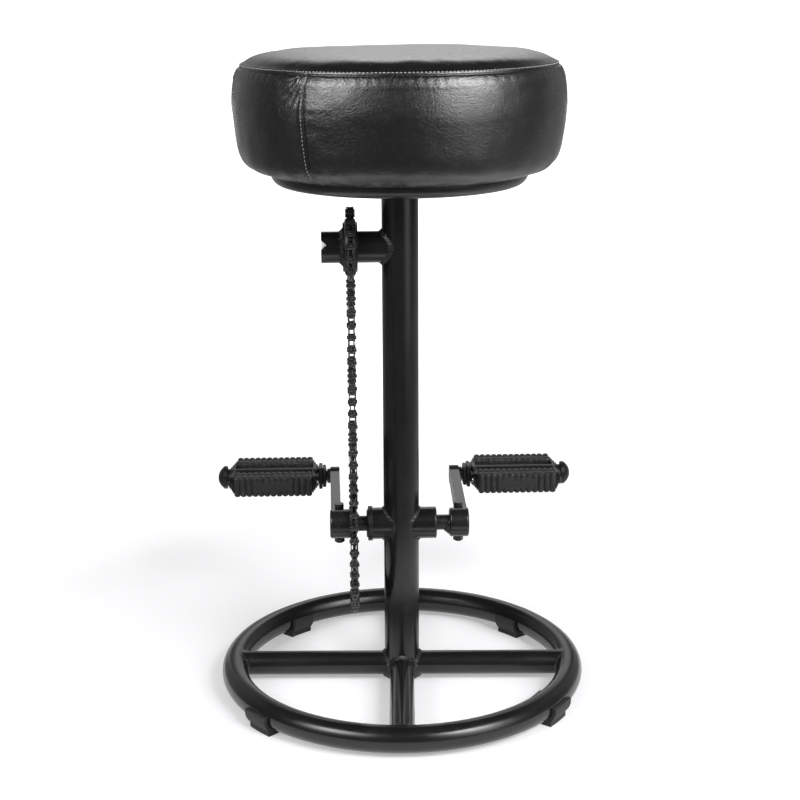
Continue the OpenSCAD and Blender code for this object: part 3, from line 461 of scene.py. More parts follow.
def around(degrees, distance, height):
    """A place round the stool, at an angle from the camera's side towards +X."""
    a = math.radians(degrees)
    return Vector((distance * math.sin(a), -distance * math.cos(a), height))


def soft_box(name, degrees, distance, low, high, width, radiance):
    """A lamp that reflections don't see, as wide as given, from one height to another."""
    place = around(degrees, distance, (low + high) / 2)
    data = bpy.data.lights.new(name, "AREA")
    data.shape = "RECTANGLE"
    data.size, data.size_y = width, high - low
    data.energy = radiance * math.pi * width * (high - low)
    lamp = add_object(name, data)
    lamp.location = place
    lamp.rotation_euler = (Vector((0, 0, AIM_Z)) - place).to_track_quat("-Z", "Y").to_euler()
    lamp.visible_glossy = False


def card(name, rows, glow):
    """A card in the studio that only reflections see. It has a glow at each of its points."""
    mesh = bpy.data.meshes.new(name)
    mesh.from_pydata([tuple(p) for row in rows for p in row], [],
                     grid_faces(len(rows), len(rows[0]), close_columns=False))
    mesh.attributes.new("glow", "FLOAT", "POINT").data.foreach_set("value", np.ravel(glow).astype("f"))
    obj = add_object(name, mesh)
    mat, tree, bsdf = shader(name, (0.0, 0.0, 0.0), 1.0, specular=0.0)
    value = tree.nodes.new("ShaderNodeAttribute")
    value.attribute_name = "glow"
    set_inputs(bsdf, Emission_Color=(1, 1, 1, 1))
    tree.links.new(value.outputs["Fac"], bsdf.inputs["Emission Strength"])
    mesh.materials.append(mat)
    mat.cycles.emission_sampling = "FRONT_BACK"
    for ray in ("camera", "diffuse", "transmission", "volume_scatter", "shadow"):
        setattr(obj, "visible_" + ray, False)


# Brightness of the floor in reflections: a row for each direction, a column for each distance
FLOOR_FAR = [0.42, 0.8, 1.3, 1.9, 6.0]
FLOOR_GLOW = [
    (-180, [0.5, 0.5, 0.5, 0.5, 0.6]),
    (-140, [0.25, 0.25, 0.3, 0.35, 0.45]),
    (-110, [0.3, 0.14, 0.14, 0.16, 0.2]),
    (-40, [0.4, 0.16, 0.12, 0.12, 0.15]),
    (-20, [0.3, 0.12, 0.1, 0.1, 0.08]),
    (20, [0.25, 0.1, 0.08, 0.08, 0.08]),
    (45, [0.4, 0.16, 0.12, 0.12, 0.12]),
    (110, [1.0, 0.7, 0.45, 0.35, 0.35]),
    (140, [0.6, 0.5, 0.45, 0.45, 0.5]),
    (180, [0.5, 0.5, 0.5, 0.5, 0.6]),
]
# Dark wall and ceiling in reflections: the wall's directions, distance and brightness by direction, and
# the ceiling's height, edges and brightness
WALL_FROM, WALL_TO, WALL_FAR = -152, 152, 2.8
WALL_GLOW = ([100, 122], [0.08, 0.34])
CEILING, CEILING_X, CEILING_Y, CEILING_GLOW = 2.6, (-5, 5), (-5, 3.6), 0.05
# Height of the floor's card and the lower edge of the wall's, just over the floor
CARD_LOW = 0.002
# Bright panels in reflections: their distance, brightness by direction, and brightness by height
PANELS = {
    "panel_right": (
        1.6,
        [(17, 0), (22, 0.12), (28, 0.45), (38, 0.9), (46, 1.1), (52, 1.05), (60, 0.55), (67, 0.26),
         (74, 0.1), (82, 0)],
        [(0.03, 1.1), (0.14, 0.9), (0.26, 0.8), (0.35, 1.1), (0.45, 2.0), (0.6, 3.2), (0.82, 4.2),
         (0.95, 5.5), (1.2, 10), (1.42, 16), (1.7, 20), (1.9, 18), (2.1, 12), (2.25, 0)]),
    "panel_left": (
        1.6,
        [(-74, 0), (-66, 0.4), (-56, 1), (-46, 0.9), (-36, 0.5), (-26, 0.2), (-18, 0)],
        [(0.25, 0.1), (0.45, 0.5), (0.7, 1.2), (0.82, 2.6), (0.95, 5.5), (1.05, 8.5), (1.3, 13), (1.8, 15),
         (2.1, 9), (2.25, 0)]),
    "panel_back": (
        2.7,
        [(152, 0), (159, 0.25), (166, 0.75), (172, 1), (182, 1), (188, 0.6), (196, 0.3), (206, 0.1)],
        [(0.4, 0.45), (0.8, 0.8), (1.2, 0.95), (1.6, 1.4), (2.0, 1.9), (2.3, 1.9), (2.5, 0)]),
}


def make_cards():
    """All that only reflections see."""
    for name, (far, directions, heights) in PANELS.items():
        glow = np.outer([d[1] for d in directions], [h[1] for h in heights])
        card(name, [[around(d[0], far, h[0]) for h in heights] for d in directions], glow)
    angles = np.linspace(-180, 180, 73)
    knots = [row[0] for row in FLOOR_GLOW]
    columns = [np.interp(angles, knots, [row[1][k] for row in FLOOR_GLOW]) for k in range(len(FLOOR_FAR))]
    card("floor_card", [[around(a, far, CARD_LOW) for far in FLOOR_FAR] for a in angles],
         np.stack(columns, axis=1))
    angles = np.linspace(WALL_FROM, WALL_TO, 61)
    card("wall_card", [[around(a, WALL_FAR, z) for z in (CARD_LOW, CEILING)] for a in angles],
         np.outer(np.interp(np.abs(angles), *WALL_GLOW), (1, 1)))
    card("ceiling_card", [[Vector((x, y, CEILING)) for y in CEILING_Y] for x in CEILING_X],
         np.full((2, 2), CEILING_GLOW))


def make_studio():
    make_world()
    make_floor()
    for name, values in LAMPS.items():
        soft_box(name, *values)
    make_cards()


# Cushion

# Direction of the side seam; everything else here is in millimetres
SIDE_SEAM = math.radians(-33.6)
# Thickness of the leather, its clearance round the board, and the hem's inner radius and the width and
# height of the cut on its edge
LEATHER, BOARD_GAP, HEM_R, HEM_CUT_WIDTH, HEM_CUT_HEIGHT = 1.4, 0.3, 104.0, 0.4, 0.2
# Radius of the flat face that closes the grid's middle, and of the part round it where relief fades out
POLE_R, POLE_FADE = 0.5, 12.0
# Crown: how flat it is, its rise past the solid, how its rings crowd towards the seam, and how much higher
# its right side is than its middle
CROWN_POWER, CROWN_EXTRA, CROWN_SPACING, LEAN = 10.0, 0.4, 1.4, 0.8
# Rings for each stretch of the side's curve, and rings of the crown
COVER_RINGS, CLOTH_RINGS = (9, 44), (4, 14)
# Number of the profile's points that come before the side's curve
SIDE_START = 11
# Cloth simulation: columns, how far it starts drawn in, pressure, steps, the most that it moves the
# leather, and the share of that which is taken away on the crown
CLOTH_COLUMNS, CLOTH_DRAWN_IN, CLOTH_PRESSURE, CLOTH_STEPS = 120, 7.0, 4.0, 20
SWELL_CAP, CROWN_DAMPING = 4.0, 0.85
# The seams: depth and width of their grooves, and height of the folded edge beside them
SEAM_GROOVE, SEAM_WIDTH, SEAM_LIP = 1.5, 1.1, 0.55
SIDE_GROOVE, SIDE_WIDTH, SIDE_LIP = 1.8, 0.9, 0.4
# Heights of the leather's other forms
SOFT_SWELL, GATHER, FOLD, TUCK, PULL = 0.9, 0.62, 0.45, 0.12, 0.35
# Stitches: pitch, gap, rise of the middle and sink of the ends, distance of each row from its seam, half
# thickness of each thread, and the side row's start and number
STITCH_PITCH, STITCH_GAP, STITCH_RISE, STITCH_SINK = 3.7, 0.9, 0.42, 0.3
TOP_ROW, SIDE_ROW, TOP_THREAD, SIDE_THREAD = 2.2, 3.0, 0.44, 0.36
SIDE_FIRST, SIDE_COUNT = 6, 27


class Cushion:
    """The leather cover: a grid of rings, from the middle of its underside over the side to the crown."""

    def __init__(self):
        band_lo, band_hi = span("cover_side_band")
        top_hi = span("cover_top_panel")[1]
        board_hi = span("seat_board")[1]
        self.r, self.hem_z, self.seam_z = band_hi[0], band_lo[2], band_hi[2]
        self.seam_r, self.top_z = top_hi[0], top_hi[2] + CROWN_EXTRA
        self.board_r, self.board_top = board_hi[0] + BOARD_GAP, board_hi[2] + BOARD_GAP
        self.height = self.seam_z - self.hem_z

    def side_curve(self, steps, drawn_in=0.0):
        """From the hem over the side to the seam, through shares of the side's height."""
        h, r = self.height, self.r - drawn_in
        return spline([
            (self.board_r + 1.7, self.hem_z), (r - 15, self.hem_z + 0.074 * h),
            (r - 5.5, self.hem_z + 0.217 * h), (r - 0.6, self.hem_z + 0.542 * h),
            (r, self.hem_z + 0.715 * h),
            (self.seam_r + 0.6 * (r - self.seam_r), self.hem_z + 0.917 * h),
            (self.seam_r, self.seam_z)], steps)

    def crown_curve(self, steps, drawn_in=0.0):
        """From the seam to the middle of the top."""
        r = self.seam_r * (1 - (np.arange(1, steps + 1) / steps) ** CROWN_SPACING)
        r = np.maximum(r, POLE_R)
        rise = (self.top_z - self.seam_z - drawn_in) * (1 - (r / self.seam_r) ** CROWN_POWER)
        return np.stack([r, self.seam_z + rise], 1)

    def profile(self, rings, drawn_in=0.0):
        """Points of the whole section and the number of the seam's point."""
        under = [(POLE_R, self.board_top), (60, self.board_top), (self.board_r, self.board_top),
                 (self.board_r, self.hem_z + LEATHER), (HEM_R, self.hem_z + LEATHER),
                 (HEM_R, self.hem_z + HEM_CUT_HEIGHT)]
        flat = [(HEM_R + HEM_CUT_WIDTH + t * (self.board_r - HEM_R) / 5, self.hem_z) for t in range(5)]
        side = self.side_curve(rings[0], drawn_in)
        crown = self.crown_curve(rings[1], drawn_in)
        points = np.concatenate([under, flat, side, crown])
        return points, SIDE_START + len(side) - 1


def arc_lengths(points, origin):
    """Length along the points, counted from the point numbered origin."""
    steps = np.linalg.norm(np.diff(points, axis=0), axis=1)
    s = np.concatenate([[0], np.cumsum(steps)])
    return s - s[origin]


def ring_points(profile, angles):
    """Grid of points: one ring of the given angles for each point of the profile."""
    r, z = profile[:, :1], profile[:, 1:]
    return np.stack([r * np.sin(angles), -r * np.cos(angles), z + 0 * angles], axis=2)


def inflate(cushion):
    """Blows up a drawn-in copy of the cover as cloth, held at its hem and seams.
    Returns how far each of its points ends from the finished size, with their arc lengths and angles."""
    columns = CLOTH_COLUMNS
    angles = np.linspace(-math.pi, math.pi, columns, endpoint=False)
    start, seam = cushion.profile(CLOTH_RINGS, CLOTH_DRAWN_IN)
    goal, _ = cushion.profile(CLOTH_RINGS)
    start, goal, seam = start[SIDE_START:], goal[SIDE_START:], seam - SIDE_START
    points = ring_points(start, angles)
    rows = len(start)
    obj = add_mesh("cloth_form", points.reshape(-1, 3), grid_faces(rows, columns),
                   MATERIALS["black_leather"])
    held = [i * columns + j for i in (0, seam) for j in range(columns)]
    seam_column = int(np.argmin(np.abs(angles - SIDE_SEAM)))
    held += [i * columns + seam_column for i in range(seam)]
    group = obj.vertex_groups.new(name="held")
    group.add(held, 1.0, "REPLACE")
    cloth = obj.modifiers.new("cloth", "CLOTH")
    cloth.settings.vertex_group_mass = "held"
    cloth.settings.use_pressure = True
    cloth.settings.uniform_pressure_force = CLOTH_PRESSURE
    cloth.settings.effector_weights.gravity = 0.0
    cloth.settings.quality = 5
    scene = bpy.context.scene
    for step in range(1, CLOTH_STEPS + 1):
        scene.frame_set(step)
    solved = obj.evaluated_get(bpy.context.evaluated_depsgraph_get())
    ends = np.array([v.co for v in solved.data.vertices]) / MM
    scene.frame_set(1)
    bpy.data.objects.remove(obj)
    ends = ends.reshape(rows, columns, 3)
    radius = np.hypot(ends[:, :, 0], ends[:, :, 1])
    moved = np.stack([radius - goal[:, :1], ends[:, :, 2] - goal[:, 1:]], axis=2)
    moved -= moved.mean(axis=1, keepdims=True)
    size = np.linalg.norm(moved, axis=2, keepdims=True)
    return moved * np.minimum(1, SWELL_CAP / np.maximum(size, 1e-6)), arc_lengths(goal, seam), angles


def sample_grid(values, s_from, a_from, s_to, a_to):
    """The values of a grid over arc length and angle, read at other places."""
    wrap = len(a_from)
    column = (a_to - a_from[0]) / (a_from[1] - a_from[0]) % wrap
    j = np.floor(column).astype(int)
    part = smooth_step(column - j)[None, :, None]
    rows = np.clip(np.interp(s_to, s_from, np.arange(len(s_from))), 0, len(s_from) - 1.001)
    i = np.floor(rows).astype(int)
    down = smooth_step(rows - i)[:, None, None]

    def along_row(k):
        return values[k][:, j % wrap] * (1 - part) + values[k][:, (j + 1) % wrap] * part

    return along_row(i) * (1 - down) + along_row(i + 1) * down


def cushion_angles():
    """Angles of the columns, close together near the side seam."""
    front = np.radians(np.arange(-100, 100, 0.4))
    degrees = np.arange(100, 260, 1.0)
    back = np.radians(degrees) - 2 * math.pi * (degrees >= 180)
    coarse = np.concatenate([front, back])
    keep = coarse[np.abs(coarse - SIDE_SEAM) > math.radians(5)]
    fine = SIDE_SEAM + np.radians(np.linspace(-4.8, 4.8, 56))
    return np.sort(np.concatenate([keep, fine]))


def cover_relief(cushion, s, angles, points):
    """How far the leather stands out at each point: seams, gathers, drawn folds and soft swells."""
    across = (angles - SIDE_SEAM + math.pi) % (2 * math.pi) - math.pi
    side_mm = across * cushion.r
    on_side = smooth_step((-s + 1.0) / 2.0)[:, None]
    low = smooth_step((-s[:, None] - 70) / 40)
    swell = fractal(points, 70, 1).reshape(len(s), -1) * SOFT_SWELL
    swell *= smooth_step(np.abs(s) / 18)[:, None]
    # Seam round the top: the groove, and the folded edge of the top panel beside it
    groove = -SEAM_GROOVE * bell(s + 0.4, SEAM_WIDTH)
    lip = SEAM_LIP * bell(s - 3.2, 2.2)
    ring = (groove + lip)[:, None] + 0 * angles[None, :]
    # Side seam, with the leather drawn towards it
    seam = -SIDE_GROOVE * bell(side_mm, SIDE_WIDTH)
    seam += SIDE_LIP * bell(side_mm + 3.4, 2.6)
    seam = seam[None, :] * on_side
    # Gathers that fan out from the corner of the two seams, on its left
    left = np.minimum(side_mm, 0)[None, :] + 0 * s[:, None]
    down = np.maximum(-s, 0)[:, None] + 0 * left
    far = np.hypot(left, down)
    fan = np.arctan2(down, -left + 0.01)
    gather = GATHER * np.sin(fan * 26 + 0.05 * far) * smooth_step(far / 6) * bell(far, 24)
    gather *= smooth_step(-side_mm / 3)[None, :] * smooth_step((-s - 1) / 3)[:, None]
    # Fine slanting ticks under the stitches, and the edge of the folded leather below them
    ticks = np.sin((side_mm[None, :] + 0.9 * s[:, None]) * 2 * math.pi / STITCH_PITCH)
    ticks *= bell(s + 4.6, 2.6)[:, None]
    ticks *= (0.08 + 0.2 * bell(side_mm - 60, 45))[None, :]
    fold = FOLD * bell(s + 11.3, 1.1)[:, None] * (1 + 0.5 * np.sin(angles * 7 + 1))[None, :]
    tuck = TUCK * np.sin(angles * 96 + 3 * np.sin(angles * 5))[None, :]
    tucks = ticks + fold + tuck * bell(s[:, None] + 6, 5)
    # Level creases beside the seam, and the pulled hem below
    flat = np.stack([points[:, 0] * 0.35, points[:, 1] * 0.35, points[:, 2] * 1.6], 1)
    crease = fractal(flat, 9, 3, 4).reshape(len(s), -1)
    crease *= (0.10 + 0.35 * bell(side_mm, 30))[None, :] * on_side * smooth_step(-s / 12)[:, None]
    pull = np.sin(angles * 29 + 2.0 * np.sin(angles * 3 + 1))[None, :] * PULL
    pull = (pull + 0.3 * np.sin(angles * 17 + 0.7)[None, :]) * low
    return swell + ring + seam + gather + tucks + crease + pull


def make_cushion():
    """The leather cover with its relief and swelling, and the stitches on it."""
    cushion = Cushion()
    profile, seam = cushion.profile(COVER_RINGS)
    profile, seam = refine_near(profile, seam)
    s = arc_lengths(profile, seam)
    angles = cushion_angles()
    grid = ring_points(profile, angles)
    out = np.gradient(profile, axis=0)
    out = np.stack([out[:, 1], -out[:, 0]], 1)
    out /= np.maximum(np.linalg.norm(out, axis=1, keepdims=True), 1e-6)
    outer = smooth_step((s - s[SIDE_START]) / 12)[:, None]
    off_pole = smooth_step(profile[:, 0] / POLE_FADE)
    relief = cover_relief(cushion, s, angles, grid.reshape(-1, 3)) * outer
    relief *= off_pole[:, None]
    radial = relief * out[:, :1]
    rise = relief * out[:, 1:]
    moved, s_from, a_from = inflate(cushion)
    swelling = sample_grid(moved, s_from, a_from, s, angles)
    swelling *= (1 - CROWN_DAMPING * smooth_step((s + 2) / 8))[:, None, None]
    swelling *= off_pole[:, None, None]
    radial = radial + swelling[:, :, 0] * outer
    rise = rise + swelling[:, :, 1] * outer
    grid[:, :, 0] += radial * np.sin(angles)
    grid[:, :, 1] -= radial * np.cos(angles)
    lean = LEAN * smooth_step((s + 60) / 60) * np.minimum(profile[:, 0] / cushion.seam_r, 1)
    grid[:, :, 2] += rise + lean[:, None] * np.sin(angles)
    cover = Parts()
    cover.tube(grid)
    obj = cover.build("cushion_cover", MATERIALS["black_leather"])
    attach(obj, "stand")
    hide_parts("cover_side_band", "cover_top_panel", "seat_foam")
    make_stitches(grid, s, angles)


def refine_near(profile, seam):
    """Adds rings close to the seam, so that its groove is smooth."""
    gaps = [0.5, 1.0, 1.5, 2.1, 2.8, 3.6, 4.6, 6.0]
    s = arc_lengths(profile, seam)
    places = np.sort(np.concatenate([s[np.abs(s) > 7.0], [0], gaps, [-g for g in gaps]]))
    fine = np.stack([np.interp(places, s, profile[:, k]) for k in (0, 1)], 1)
    return fine, int(np.argmin(np.abs(places)))


def stitch(parts, start, end, out, thick):
    """One stitch: a short thread that dips into the leather at both ends."""
    start, end, out = (np.asarray(v, float) for v in (start, end, out))
    along = (end - start) / np.linalg.norm(end - start)
    side = np.cross(along, out)
    rings = []
    for t in np.linspace(0, 1, 7):
        rise = STITCH_RISE * math.sin(math.pi * t) - STITCH_SINK
        width = thick * (0.45 + 0.55 * math.sin(math.pi * t) ** 0.5)
        centre = start + (end - start) * t + out * rise
        rings.append([centre + width * (side * math.cos(a) + out * math.sin(a)) for a in full_turn(8)])
    parts.tube(rings)


def surface_at(grid, s, angles, s_at, a_at):
    """Point and outward direction of the cover at an arc length and an angle."""
    i = int(np.clip(np.searchsorted(s, s_at), 1, len(s) - 2))
    j = int(np.argmin(np.abs(angles - a_at)))
    column = grid[:, j]
    point = np.array([np.interp(s_at, s, column[:, k]) for k in range(3)])
    turn = a_at - angles[j]
    c, n = math.cos(turn), math.sin(turn)
    point = np.array([point[0] * c - point[1] * n, point[0] * n + point[1] * c, point[2]])
    along = column[i + 1] - column[i - 1]
    level = np.array([math.cos(a_at), math.sin(a_at), 0])
    out = np.cross(level, along)
    return point, out / np.linalg.norm(out)


def make_stitches(grid, s, angles):
    """One row of stitches round the top, above its seam, and one down the side, left of its seam.
    Each stitch goes from one place to another, and a place is an arc length and an angle."""
    half = (STITCH_PITCH - STITCH_GAP) / 2
    ring_r = span("cover_top_panel")[1][0] - TOP_ROW
    count = int(2 * math.pi * ring_r / STITCH_PITCH)
    turn = half / ring_r
    middles = [-math.pi + (k + 0.5) * 2 * math.pi / count for k in range(count)]
    ring = [((TOP_ROW, a - turn), (TOP_ROW, a + turn)) for a in middles]
    beside = SIDE_SEAM - SIDE_ROW / ring_r
    middles = [-SIDE_FIRST - k * STITCH_PITCH for k in range(SIDE_COUNT)]
    side = [((m - half, beside), (m + half, beside)) for m in middles]
    for name, places, thick, material in (("cushion_stitches", ring, TOP_THREAD, THREAD),
                                          ("side_stitches", side, SIDE_THREAD, DARK_THREAD)):
        parts = Parts()
        for start, end in places:
            first, out = surface_at(grid, s, angles, *start)
            last, _ = surface_at(grid, s, angles, *end)
            stitch(parts, first, last, out, thick)
        obj = parts.build(name, material)
        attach(obj, "stand")


# Welds

# Leg of each weld in millimetres, and the ripples on its run
SPOKE_WELD, RING_WELD, STUB_WELD = (3.2, 22), (2.8, 24), (3.0, 34)
SHELL_WELD, FREEWHEEL_WELD, PAN_WELD = (2.3, 26), (3.6, 22), (4.0, 26)
WELD_STEPS = 220
# Places of a weld's points between its two edges, how full its belly is, and how deep it goes
WELD_PLACES = (0, 0.1, 0.2, 0.35, 0.5, 0.65, 0.8, 0.9, 1)
WELD_BELLY, WELD_ROOT = 0.9, 0.35


def weld_ripple(angle, ripples, seed):
    """Height of a weld along its run: one ripple for each puddle, with uneven sizes."""
    wave = math.sin(angle * ripples / 2 + 0.5 * math.sin(angle * 5 + seed)) ** 2
    return 0.72 + 0.34 * wave + 0.3 * noise.noise(Vector((angle * 4, seed, 0)))


def fillet_ring(parts, tube_point, wall_point, weld, seed):
    """A weld in the corner between a tube and a wall. tube_point(angle, d) lies on the tube at a
    distance d from the corner, and wall_point(angle, d) on the wall."""
    leg, ripples = weld
    rings = []
    for k in range(WELD_STEPS):
        a = 2 * math.pi * k / WELD_STEPS
        reach = leg * weld_ripple(a, ripples, seed)
        corner = np.array(tube_point(a, 0.0))
        first, last = np.array(tube_point(a, reach)), np.array(wall_point(a, reach))
        middle = (first + last) / 2
        belly = corner + (middle - corner) * WELD_BELLY
        ring = [first * (1 - t) ** 2 + belly * 2 * t * (1 - t) + last * t ** 2 for t in WELD_PLACES]
        ring.append(corner - (middle - corner) * WELD_ROOT)
        rings.append(ring)
    parts.tube(rings, closed=True)


def turned(turn, z):
    """A function that turns a point about the post and raises it."""
    c, n = math.cos(turn), math.sin(turn)

    def placed(x, y, height):
        return (x * c - y * n, x * n + y * c, z + height)

    return placed


def tube_on_post(parts, z, r, post_r, weld, turn, seed):
    """Weld round a level tube that meets the post, turned about the post by an angle."""
    placed = turned(turn, z)

    def tube_point(a, d):
        y, height = r * math.cos(a), r * math.sin(a)
        return placed(math.sqrt(post_r ** 2 - y ** 2) + d, y, height)

    def wall_point(a, d):
        angle = (post_r * math.asin(r * math.cos(a) / post_r) + d * math.cos(a)) / post_r
        return placed(post_r * math.cos(angle), post_r * math.sin(angle), (r + d) * math.sin(a))

    fillet_ring(parts, tube_point, wall_point, weld, seed)


def spoke_on_ring(parts, z, r, ring_r, tube_r, weld, turn, seed):
    """Weld round a spoke that meets the base ring from inside."""
    placed = turned(turn, z)

    def wall_x(y, height):
        inner = ring_r - math.sqrt(max(tube_r ** 2 - height ** 2, 0.0))
        return math.sqrt(inner ** 2 - y ** 2)

    def tube_point(a, d):
        y, height = r * math.cos(a), r * math.sin(a)
        return placed(wall_x(y, height) - d, y, height)

    def wall_point(a, d):
        y, height = (r + d) * math.cos(a), (r + d) * math.sin(a)
        height = max(-tube_r * 0.97, min(tube_r * 0.97, height))
        return placed(wall_x(y, height), y, height)

    fillet_ring(parts, tube_point, wall_point, weld, seed)


def level_tube(node):
    """Height and radius of a node that lies level, from its box."""
    lo, hi = span(node)
    return (lo[2] + hi[2]) / 2, (hi[2] - lo[2]) / 2


def make_welds():
    """All the welds that show, as one object."""
    post_r, _, post_top = span("post")[1]
    ring_z, tube_r = level_tube("base_ring")
    _, spoke_r = level_tube("spoke_front")
    stub_z, stub_r = level_tube("stub_tube")
    shell_z, shell_r = level_tube("bracket_shell")
    ring_r = span("base_ring")[1][0] - tube_r
    spoke_lo, spoke_hi = span("spoke_front")
    spoke_middle = (spoke_lo + spoke_hi) / 2
    base_turn = math.atan2(spoke_middle[1], spoke_middle[0])
    parts = Parts()
    for k in range(4):
        turn = base_turn + k * math.pi / 2
        tube_on_post(parts, ring_z, spoke_r, post_r, SPOKE_WELD, turn, k + 1)
        spoke_on_ring(parts, ring_z, spoke_r, ring_r, tube_r, RING_WELD, turn, k + 5)
    tube_on_post(parts, stub_z, stub_r, post_r, STUB_WELD, math.pi, 11)
    for k, turn in enumerate((0, math.pi)):
        tube_on_post(parts, shell_z, shell_r, post_r, SHELL_WELD, turn, 13 + k)
    core_out = span("freewheel_lock_plate")[0][0]

    def round_stub(x, r, a):
        return (x, r * math.cos(a), stub_z + r * math.sin(a))

    def round_post(z, r, a):
        return (r * math.cos(a), r * math.sin(a), z)

    fillet_ring(parts, lambda a, d: round_stub(core_out - d, stub_r, a),
                lambda a, d: round_stub(core_out, stub_r + d, a), FREEWHEEL_WELD, 17)
    fillet_ring(parts, lambda a, d: round_post(post_top - d, post_r, a),
                lambda a, d: round_post(post_top, post_r + d, a), PAN_WELD, 19)
    obj = parts.build("weld_runs", WELD_PAINT)
    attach(obj, "stand")
    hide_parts("weld_beads")


# Pedals

# A rubber block: its ribs and their depth, the rings of points for each rib, the gap between the two
# blocks, and the rounding of their edges
RIBS, RIB_DEPTH, RIB_RINGS, BLOCK_GAP, BLOCK_ROUND = 13, 2.1, 10, 34.0, 3.4
# The plain patch on a block's outer face: half its length, its share of the height, and its level
PATCH_HALF, PATCH_SHARE, PATCH_LEVEL = 21, 0.62, 0.75


def block_section(inner, outer, half):
    """Loop round a block's section: points (y, z) and outward directions."""
    points, outs = [], []
    r = BLOCK_ROUND
    corners = [(outer - r, -half + r, -90), (outer - r, half - r, 0), (inner + r, half - r, 90),
               (inner + r, -half + r, 180)]
    for k, (cy, cz, first) in enumerate(corners):
        for a in np.radians(np.linspace(first, first + 90, 7)):
            points.append((cy + r * math.cos(a), cz + r * math.sin(a)))
            outs.append((math.cos(a), math.sin(a)))
        ny, nz, _ = corners[(k + 1) % 4]
        a = math.radians(first + 90)
        from_p = np.array(points[-1])
        to_p = np.array([ny + r * math.cos(a), nz + r * math.sin(a)])
        for t in np.linspace(0, 1, 12)[1:-1]:
            points.append(tuple(from_p + (to_p - from_p) * t))
            outs.append((math.cos(a), math.sin(a)))
    return np.array(points), np.array(outs)


def rubber_block(parts, x_from, x_to, centre_y, centre_z, inner, outer, half, flip):
    """One rubber block: ribs wrap it, a groove parts them on top and below, and the middle of its
    outer face is plain."""
    section, outs = block_section(inner, outer, half)
    samples = RIBS * RIB_RINGS + 1
    length, middle = x_to - x_from, (inner + outer) / 2
    pitch = length / RIBS
    rings = []
    for i in range(samples):
        x = x_from + length * i / (samples - 1)
        phase = ((x - x_from) / pitch) % 1.0 * 2 - 1
        crest = math.sqrt(max(1 - phase ** 2, 0.0)) if 0 < i < samples - 1 else 0.0
        ring = []
        for (y, z), (oy, oz) in zip(section, outs):
            level = crest
            if abs(oz) > 0.5:
                across = abs(y - middle) / (outer - inner) * 2
                level *= min(1.0, 0.1 + 1.1 * abs(math.sin(math.pi * across)) ** 0.9)
            elif oy < -0.5:
                level = 0.5 + 0.3 * crest
            else:
                plain = smooth_step((PATCH_HALF - abs(x - (x_from + x_to) / 2)) / 2.5)
                plain *= smooth_step((half * PATCH_SHARE - abs(z)) / 2.0)
                level = level * (1 - plain) + PATCH_LEVEL * plain
            depth = RIB_DEPTH * (level - 1)
            ring.append((x, centre_y + flip * (y + oy * depth), centre_z + z + oz * depth))
        rings.append(ring)
    parts.tube(rings)


def make_pedal_blocks():
    """The two ribbed blocks of each pedal, as one object."""
    for side in ("left", "right"):
        lo, hi = span("pedal_blocks_" + side)
        centre = (lo + hi) / 2
        parts = Parts()
        for flip in (1, -1):
            rubber_block(parts, lo[0], hi[0], centre[1], centre[2], BLOCK_GAP / 2,
                         (hi[1] - lo[1]) / 2, (hi[2] - lo[2]) / 2, flip)
        obj = parts.build("ribbed_blocks_" + side, MATERIALS["pedal_rubber"])
        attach(obj, "pedal_" + side)
        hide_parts("pedal_blocks_" + side)


# Sections of an end casting: distance from the blocks, half depth, half height
CASTING_STEPS = [(0.1, 36, 9.6), (1.8, 31, 8.4), (3.6, 26.5, 7.3), (5.4, 21.5, 6.3), (7.2, 16, 5.4)]
CASTING_END = 9.0
# Collars round the spindle on an inner end: from, to, radius
COLLARS = [(0.8, 5.4, 11.0), (7.5, 11.5, 12.6), (11.9, 15.6, 10.9)]
CASTING_BORE = 4.9
# Chamfers of the casting's steps and of the collars
STEP_CUT, COLLAR_CUT = 0.5, 0.7
# How square the castings and their collars are; 2 would be round
SQUARENESS = 9


def box_ring(x, half_y, half_z, centre):
    """A rounded rectangle across the spindle, as points at even angles."""
    out = []
    for a in full_turn(96):
        c, n = math.cos(a), math.sin(a)
        r = ((abs(c) / half_y) ** SQUARENESS + (abs(n) / half_z) ** SQUARENESS) ** (-1 / SQUARENESS)
        out.append((x, centre[1] + r * c, centre[2] + r * n))
    return out


def end_casting(parts, block_end, way, centre, collars):
    """A stepped plate at one end of the blocks, with collars round the spindle."""
    def section(x, half_y=CASTING_BORE, half_z=CASTING_BORE):
        return box_ring(block_end + way * x, half_y, half_z, centre)

    rings = [section(CASTING_STEPS[0][0])]
    ends = [step[0] for step in CASTING_STEPS[1:]] + [CASTING_END]
    for (start, half_y, half_z), end in zip(CASTING_STEPS, ends):
        for x, inset in ((start, STEP_CUT), (start + STEP_CUT, 0), (end - 0.01, 0)):
            rings.append(section(x, half_y - inset, half_z - inset))
    rings.append(section(CASTING_END))
    parts.tube(rings, closed=True)
    for start, end, r in collars:
        sides = [(start, r - COLLAR_CUT), (start + COLLAR_CUT, r), (end - COLLAR_CUT, r),
                 (end, r - COLLAR_CUT)]
        collar = [section(x, side_r, side_r) for x, side_r in sides]
        parts.tube([section(start)] + collar + [section(end)], closed=True)


# Heads of the rods: distance from the blocks, distance from the spindle, radius
HEAD_AT, HEAD_ROW, HEAD_R = 4.6, 25.0, 3.4


def rod_head(parts, x, way, centre):
    """A domed head that stands out of the end casting."""
    rings = []
    for up in np.linspace(0, math.pi / 2, 6)[:-1]:
        r = HEAD_R * math.cos(up)
        rings.append(circle_x(x + way * HEAD_R * math.sin(up), r, centre, full_turn(20)))
    parts.tube(rings)


